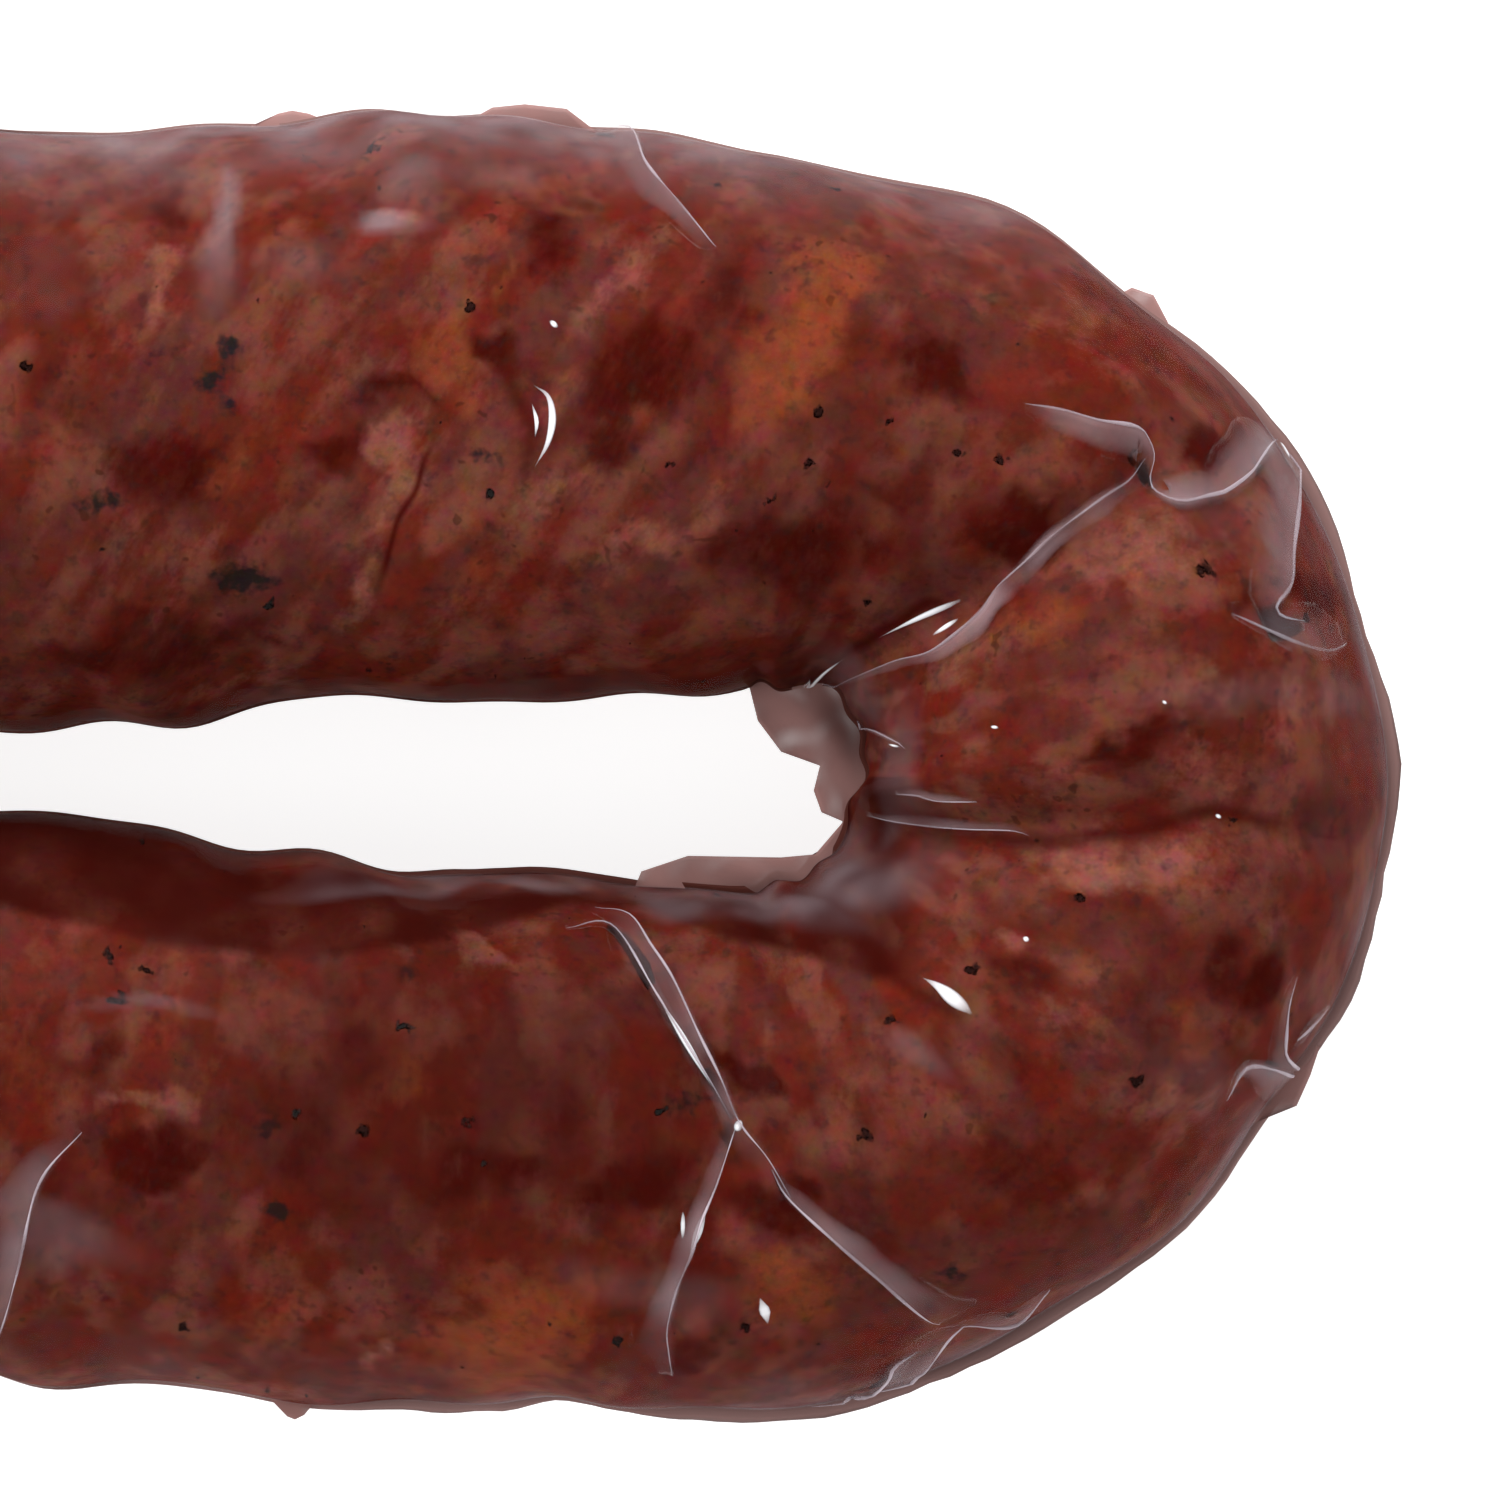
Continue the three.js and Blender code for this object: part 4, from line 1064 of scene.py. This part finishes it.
# Pepper and herb flecks in the meat: x, y, length, width, degrees
flecks = {
    "crumbs": 5,  # so many smaller ones round each listed one
    "sides": 12,
    "section": [  # out, up, how dense
        (0.04, 1, 0.9), (0.5, 0.8, 0.5), (1.2, 0, 0), (0.5, -0.8, 0.5), (0.04, -1, 0.9),
    ],
    "onArms": (-180, 187),  # along, where scattered ones lie
    "onTop": 0.45,  # size of those on the upper face, where the listed ones lie
    "lift": 0.02,
    "thickness": 0.06,
    "pepper": [
        (-46.8, 26.4, 0.8, 0.6, 0), (-18, 30.2, 0.7, 0.9, 70), (-24.1, 40.7, 0.9, 0.6, 0),
        (4.4, 23.3, 0.8, 0.6, 30), (3.7, 20.1, 1, 0.6, 20), (1.2, 17.6, 0.7, 0.5, 0),
        (-5.2, 20, 0.5, 0.4, 0), (9, 22.8, 0.5, 0.4, 0), (13.3, 20.8, 0.7, 0.5, 0),
        (16.2, 20.3, 0.7, 0.6, 0), (7.5, 11, 0.8, 0.6, 30), (-41.3, -11.5, 0.9, 0.8, 0),
        (-38.8, -12.4, 0.6, 0.5, 0), (-40.9, -14.4, 1.4, 0.6, 10), (-24.9, -22.9, 0.8, 0.8, 0),
        (-18.2, -22.2, 0.6, 0.5, 0), (-36.6, -35.8, 0.8, 0.5, -30), (8.8, -15.8, 1, 0.6, 20),
        (7.3, -23.2, 0.7, 0.9, 60), (-0.3, -35.6, 0.6, 0.7, 60), (29.2, 13.2, 1.2, 0.8, -30),
        (14.2, -12.5, 0.8, 1, 70), (21.3, -7.8, 0.8, 0.6, 0), (25.1, -19.8, 0.8, 0.7, 0),
        (31.2, -2.9, 0.6, 0.5, 0),
    ],
    "herb": [
        (-31, 10.6, 0.9, 0.5, 5), (-16.8, 18, 0.8, 0.6, 0), (-22.3, -16, 1, 0.5, 0),
        (-29.4, -21.8, 0.7, 0.5, 40), (-5.8, -21.6, 0.8, 0.5, 20), (-8.7, -36.7, 0.9, 0.5, 20),
    ],
    "scattered": {"pepper": 420, "herb": 40},
    "tone": {"pepper": (0.020, 0.0070, 0.0058), "herb": (0.0150, 0.0125, 0.0118)},
}


# A flat closed flake on the meat: rings of a squashed ellipsoid laid on the surface, their radius
# made ragged by three sine waves.
def flakeGrid(along, turn, length, width, degrees, seed):
    reach, height = np.array(flecks["section"]).T[:2, :, None]
    around = anglesRound(flecks["sides"])
    ragged = 1.15 + 0.2 * np.sin(2 * around + 3 * seed) + 0.16 * np.sin(3 * around + seed)
    ragged = ragged + 0.1 * np.sin(5 * around + 2.3 * seed)
    a = length / 2 * reach * np.cos(around) * ragged
    b = width / 2 * reach * np.sin(around) * ragged
    planX, planY = turned(a, b, degrees)
    up = flecks["lift"] + flecks["thickness"] / 2 * height + 0 * around
    outX, outY = centreLine(np.array([along]))[2:]
    outwards = planX * outX + planY * outY
    onward = planX * -outY + planY * outX
    placeAlong = along + onward
    placeTurn = turn - outwards / ropeForm["meanRadius"] / max(0.25, abs(math.sin(turn)))
    plain = surfacePoint(placeAlong, placeTurn)
    point = surfacePoint(placeAlong, placeTurn, meat["inset"] - lumpsAt(plain, placeAlong, placeTurn))
    return point + surfaceNormal(placeAlong, placeTurn) * up[..., None]


def makeFlecks():
    for kind in ("pepper", "herb"):
        draw = np.random.default_rng(90 if kind == "pepper" else 91)
        grids = []
        for x, y, length, width, degrees in flecks[kind]:
            crumbs = [(0, 0, 0.6, 0)]
            for _ in range(flecks["crumbs"]):
                crumbs.append((*draw.normal(0, 0.3, 2), draw.uniform(0.3, 0.6), draw.uniform(0, 180)))
            for ahead, aside, size, twist in crumbs:
                aheadX, aheadY = turned(ahead * length, aside * width, degrees)
                along, turn = seenOnRope(x + aheadX, y + aheadY)
                crumb = (float(along), float(turn), size * length, size * width, degrees + twist, x + twist)
                grids.append(flakeGrid(*crumb))
        for _ in range(flecks["scattered"][kind]):
            along = draw.uniform(*flecks["onArms"])
            turn = draw.uniform(0, 2 * math.pi)
            size = 0.25 + 0.75 * draw.random() ** 3
            shape = draw.uniform(0.5, 1)
            degrees = draw.uniform(0, 180)
            seenTop = math.sin(turn) > 0 and abs(along) < halfArc + 50
            if seenTop:
                size *= flecks["onTop"]
            if abs(math.sin(turn)) > 0.05 or not seenTop:
                grids.append(flakeGrid(along, turn, size, size * shape, degrees, draw.uniform(0, 6)))
        material, tree = newMaterial(kind + "_fleck")
        place = objectPlace(tree)
        tone = flecks["tone"][kind]
        paler = tuple(1.3 * value for value in tone)
        colour = mixColours(tree, softStep(tree, noiseField(tree, place, 1400, 1), 0.4, 0.65), tone, paler)
        frayed = calculate(tree, "ADD", readAttribute(tree, "dense"), noiseField(tree, place, 1900, 1, 0.6))
        skin = addNode(tree, "ShaderNodeBsdfPrincipled", None, {
            "Base Color": colour, "Roughness": 0.6, "Specular IOR Level": 0.0,
            "Alpha": softStep(tree, frayed, 0.5, 1.5, 0.78)})
        toSurface(tree, skin)
        density = np.array(flecks["section"])[:, 2:]
        dense = [np.broadcast_to(density, grid.shape[:2]) for grid in grids]
        putSurface(kind + "_flecks", grids, material, {"dense": dense})


# Floor and light: a near-white table, a dim room, a big soft light from the upper side and a lesser
# one from the left, both low so that the top of the film stays clear of their reflection
studio = {
    "floorHalf": 2.5,
    "floorLevel": -0.0004,  # just under the film
    "floorTone": (0.55, 0.55, 0.55),
    "floorGlow": 0.82,
    "room": 0.62,
    "lamps": [  # name, azimuth, elevation, distance, size, watts
        ("upper_softbox", 100, 38, 1.1, 0.7, 13.5),
        ("left_softbox", 190, 34, 1.1, 0.5, 5.0),
        ("right_fill", -20, 30, 1.2, 0.6, 3.0),
    ],
}


def makeStudio():
    mesh = bpy.data.meshes.new("table")
    half, level = studio["floorHalf"], studio["floorLevel"]
    corners = [(x * half, y * half, level) for x, y in ((-1, -1), (1, -1), (1, 1), (-1, 1))]
    mesh.from_pydata(corners, [], [(0, 1, 2, 3)])
    floor = bpy.data.objects.new("table", mesh)
    bpy.context.scene.collection.objects.link(floor)
    material, tree = newMaterial("pale_table")
    skin = addNode(tree, "ShaderNodeBsdfPrincipled", None, {
        "Base Color": (*studio["floorTone"], 1), "Roughness": 0.7, "Specular IOR Level": 0.1,
        "Emission Color": (1, 1, 1, 1), "Emission Strength": studio["floorGlow"]})
    toSurface(tree, skin)
    mesh.materials.append(material)
    world = bpy.data.worlds.new("dim_room")
    bpy.context.scene.world = world
    world.use_nodes = True
    world.node_tree.nodes["Background"].inputs["Color"].default_value = (1, 1, 1, 1)
    world.node_tree.nodes["Background"].inputs["Strength"].default_value = studio["room"]
    aim = planCentre * mm
    for name, azimuth, elevation, distance, size, watts in studio["lamps"]:
        lamp = bpy.data.lights.new(name, "AREA")
        lamp.shape = "SQUARE"
        lamp.size = size
        lamp.energy = watts
        holder = bpy.data.objects.new(name, lamp)
        a, e = math.radians(azimuth), math.radians(elevation)
        way = np.array([math.cos(e) * math.cos(a), math.cos(e) * math.sin(a), math.sin(e)])
        holder.location = aim + distance * way
        holder.rotation_euler = (math.pi / 2 - e, 0, a + math.pi / 2)
        bpy.context.scene.collection.objects.link(holder)
    bpy.context.scene.view_settings.view_transform = "Standard"


addCamera()
makeMeat()
makeFilm()
makeFolds()
makeGlints()
makeRim()
makeScraps()
makeFlecks()
makeStudio()
print("pieces made")
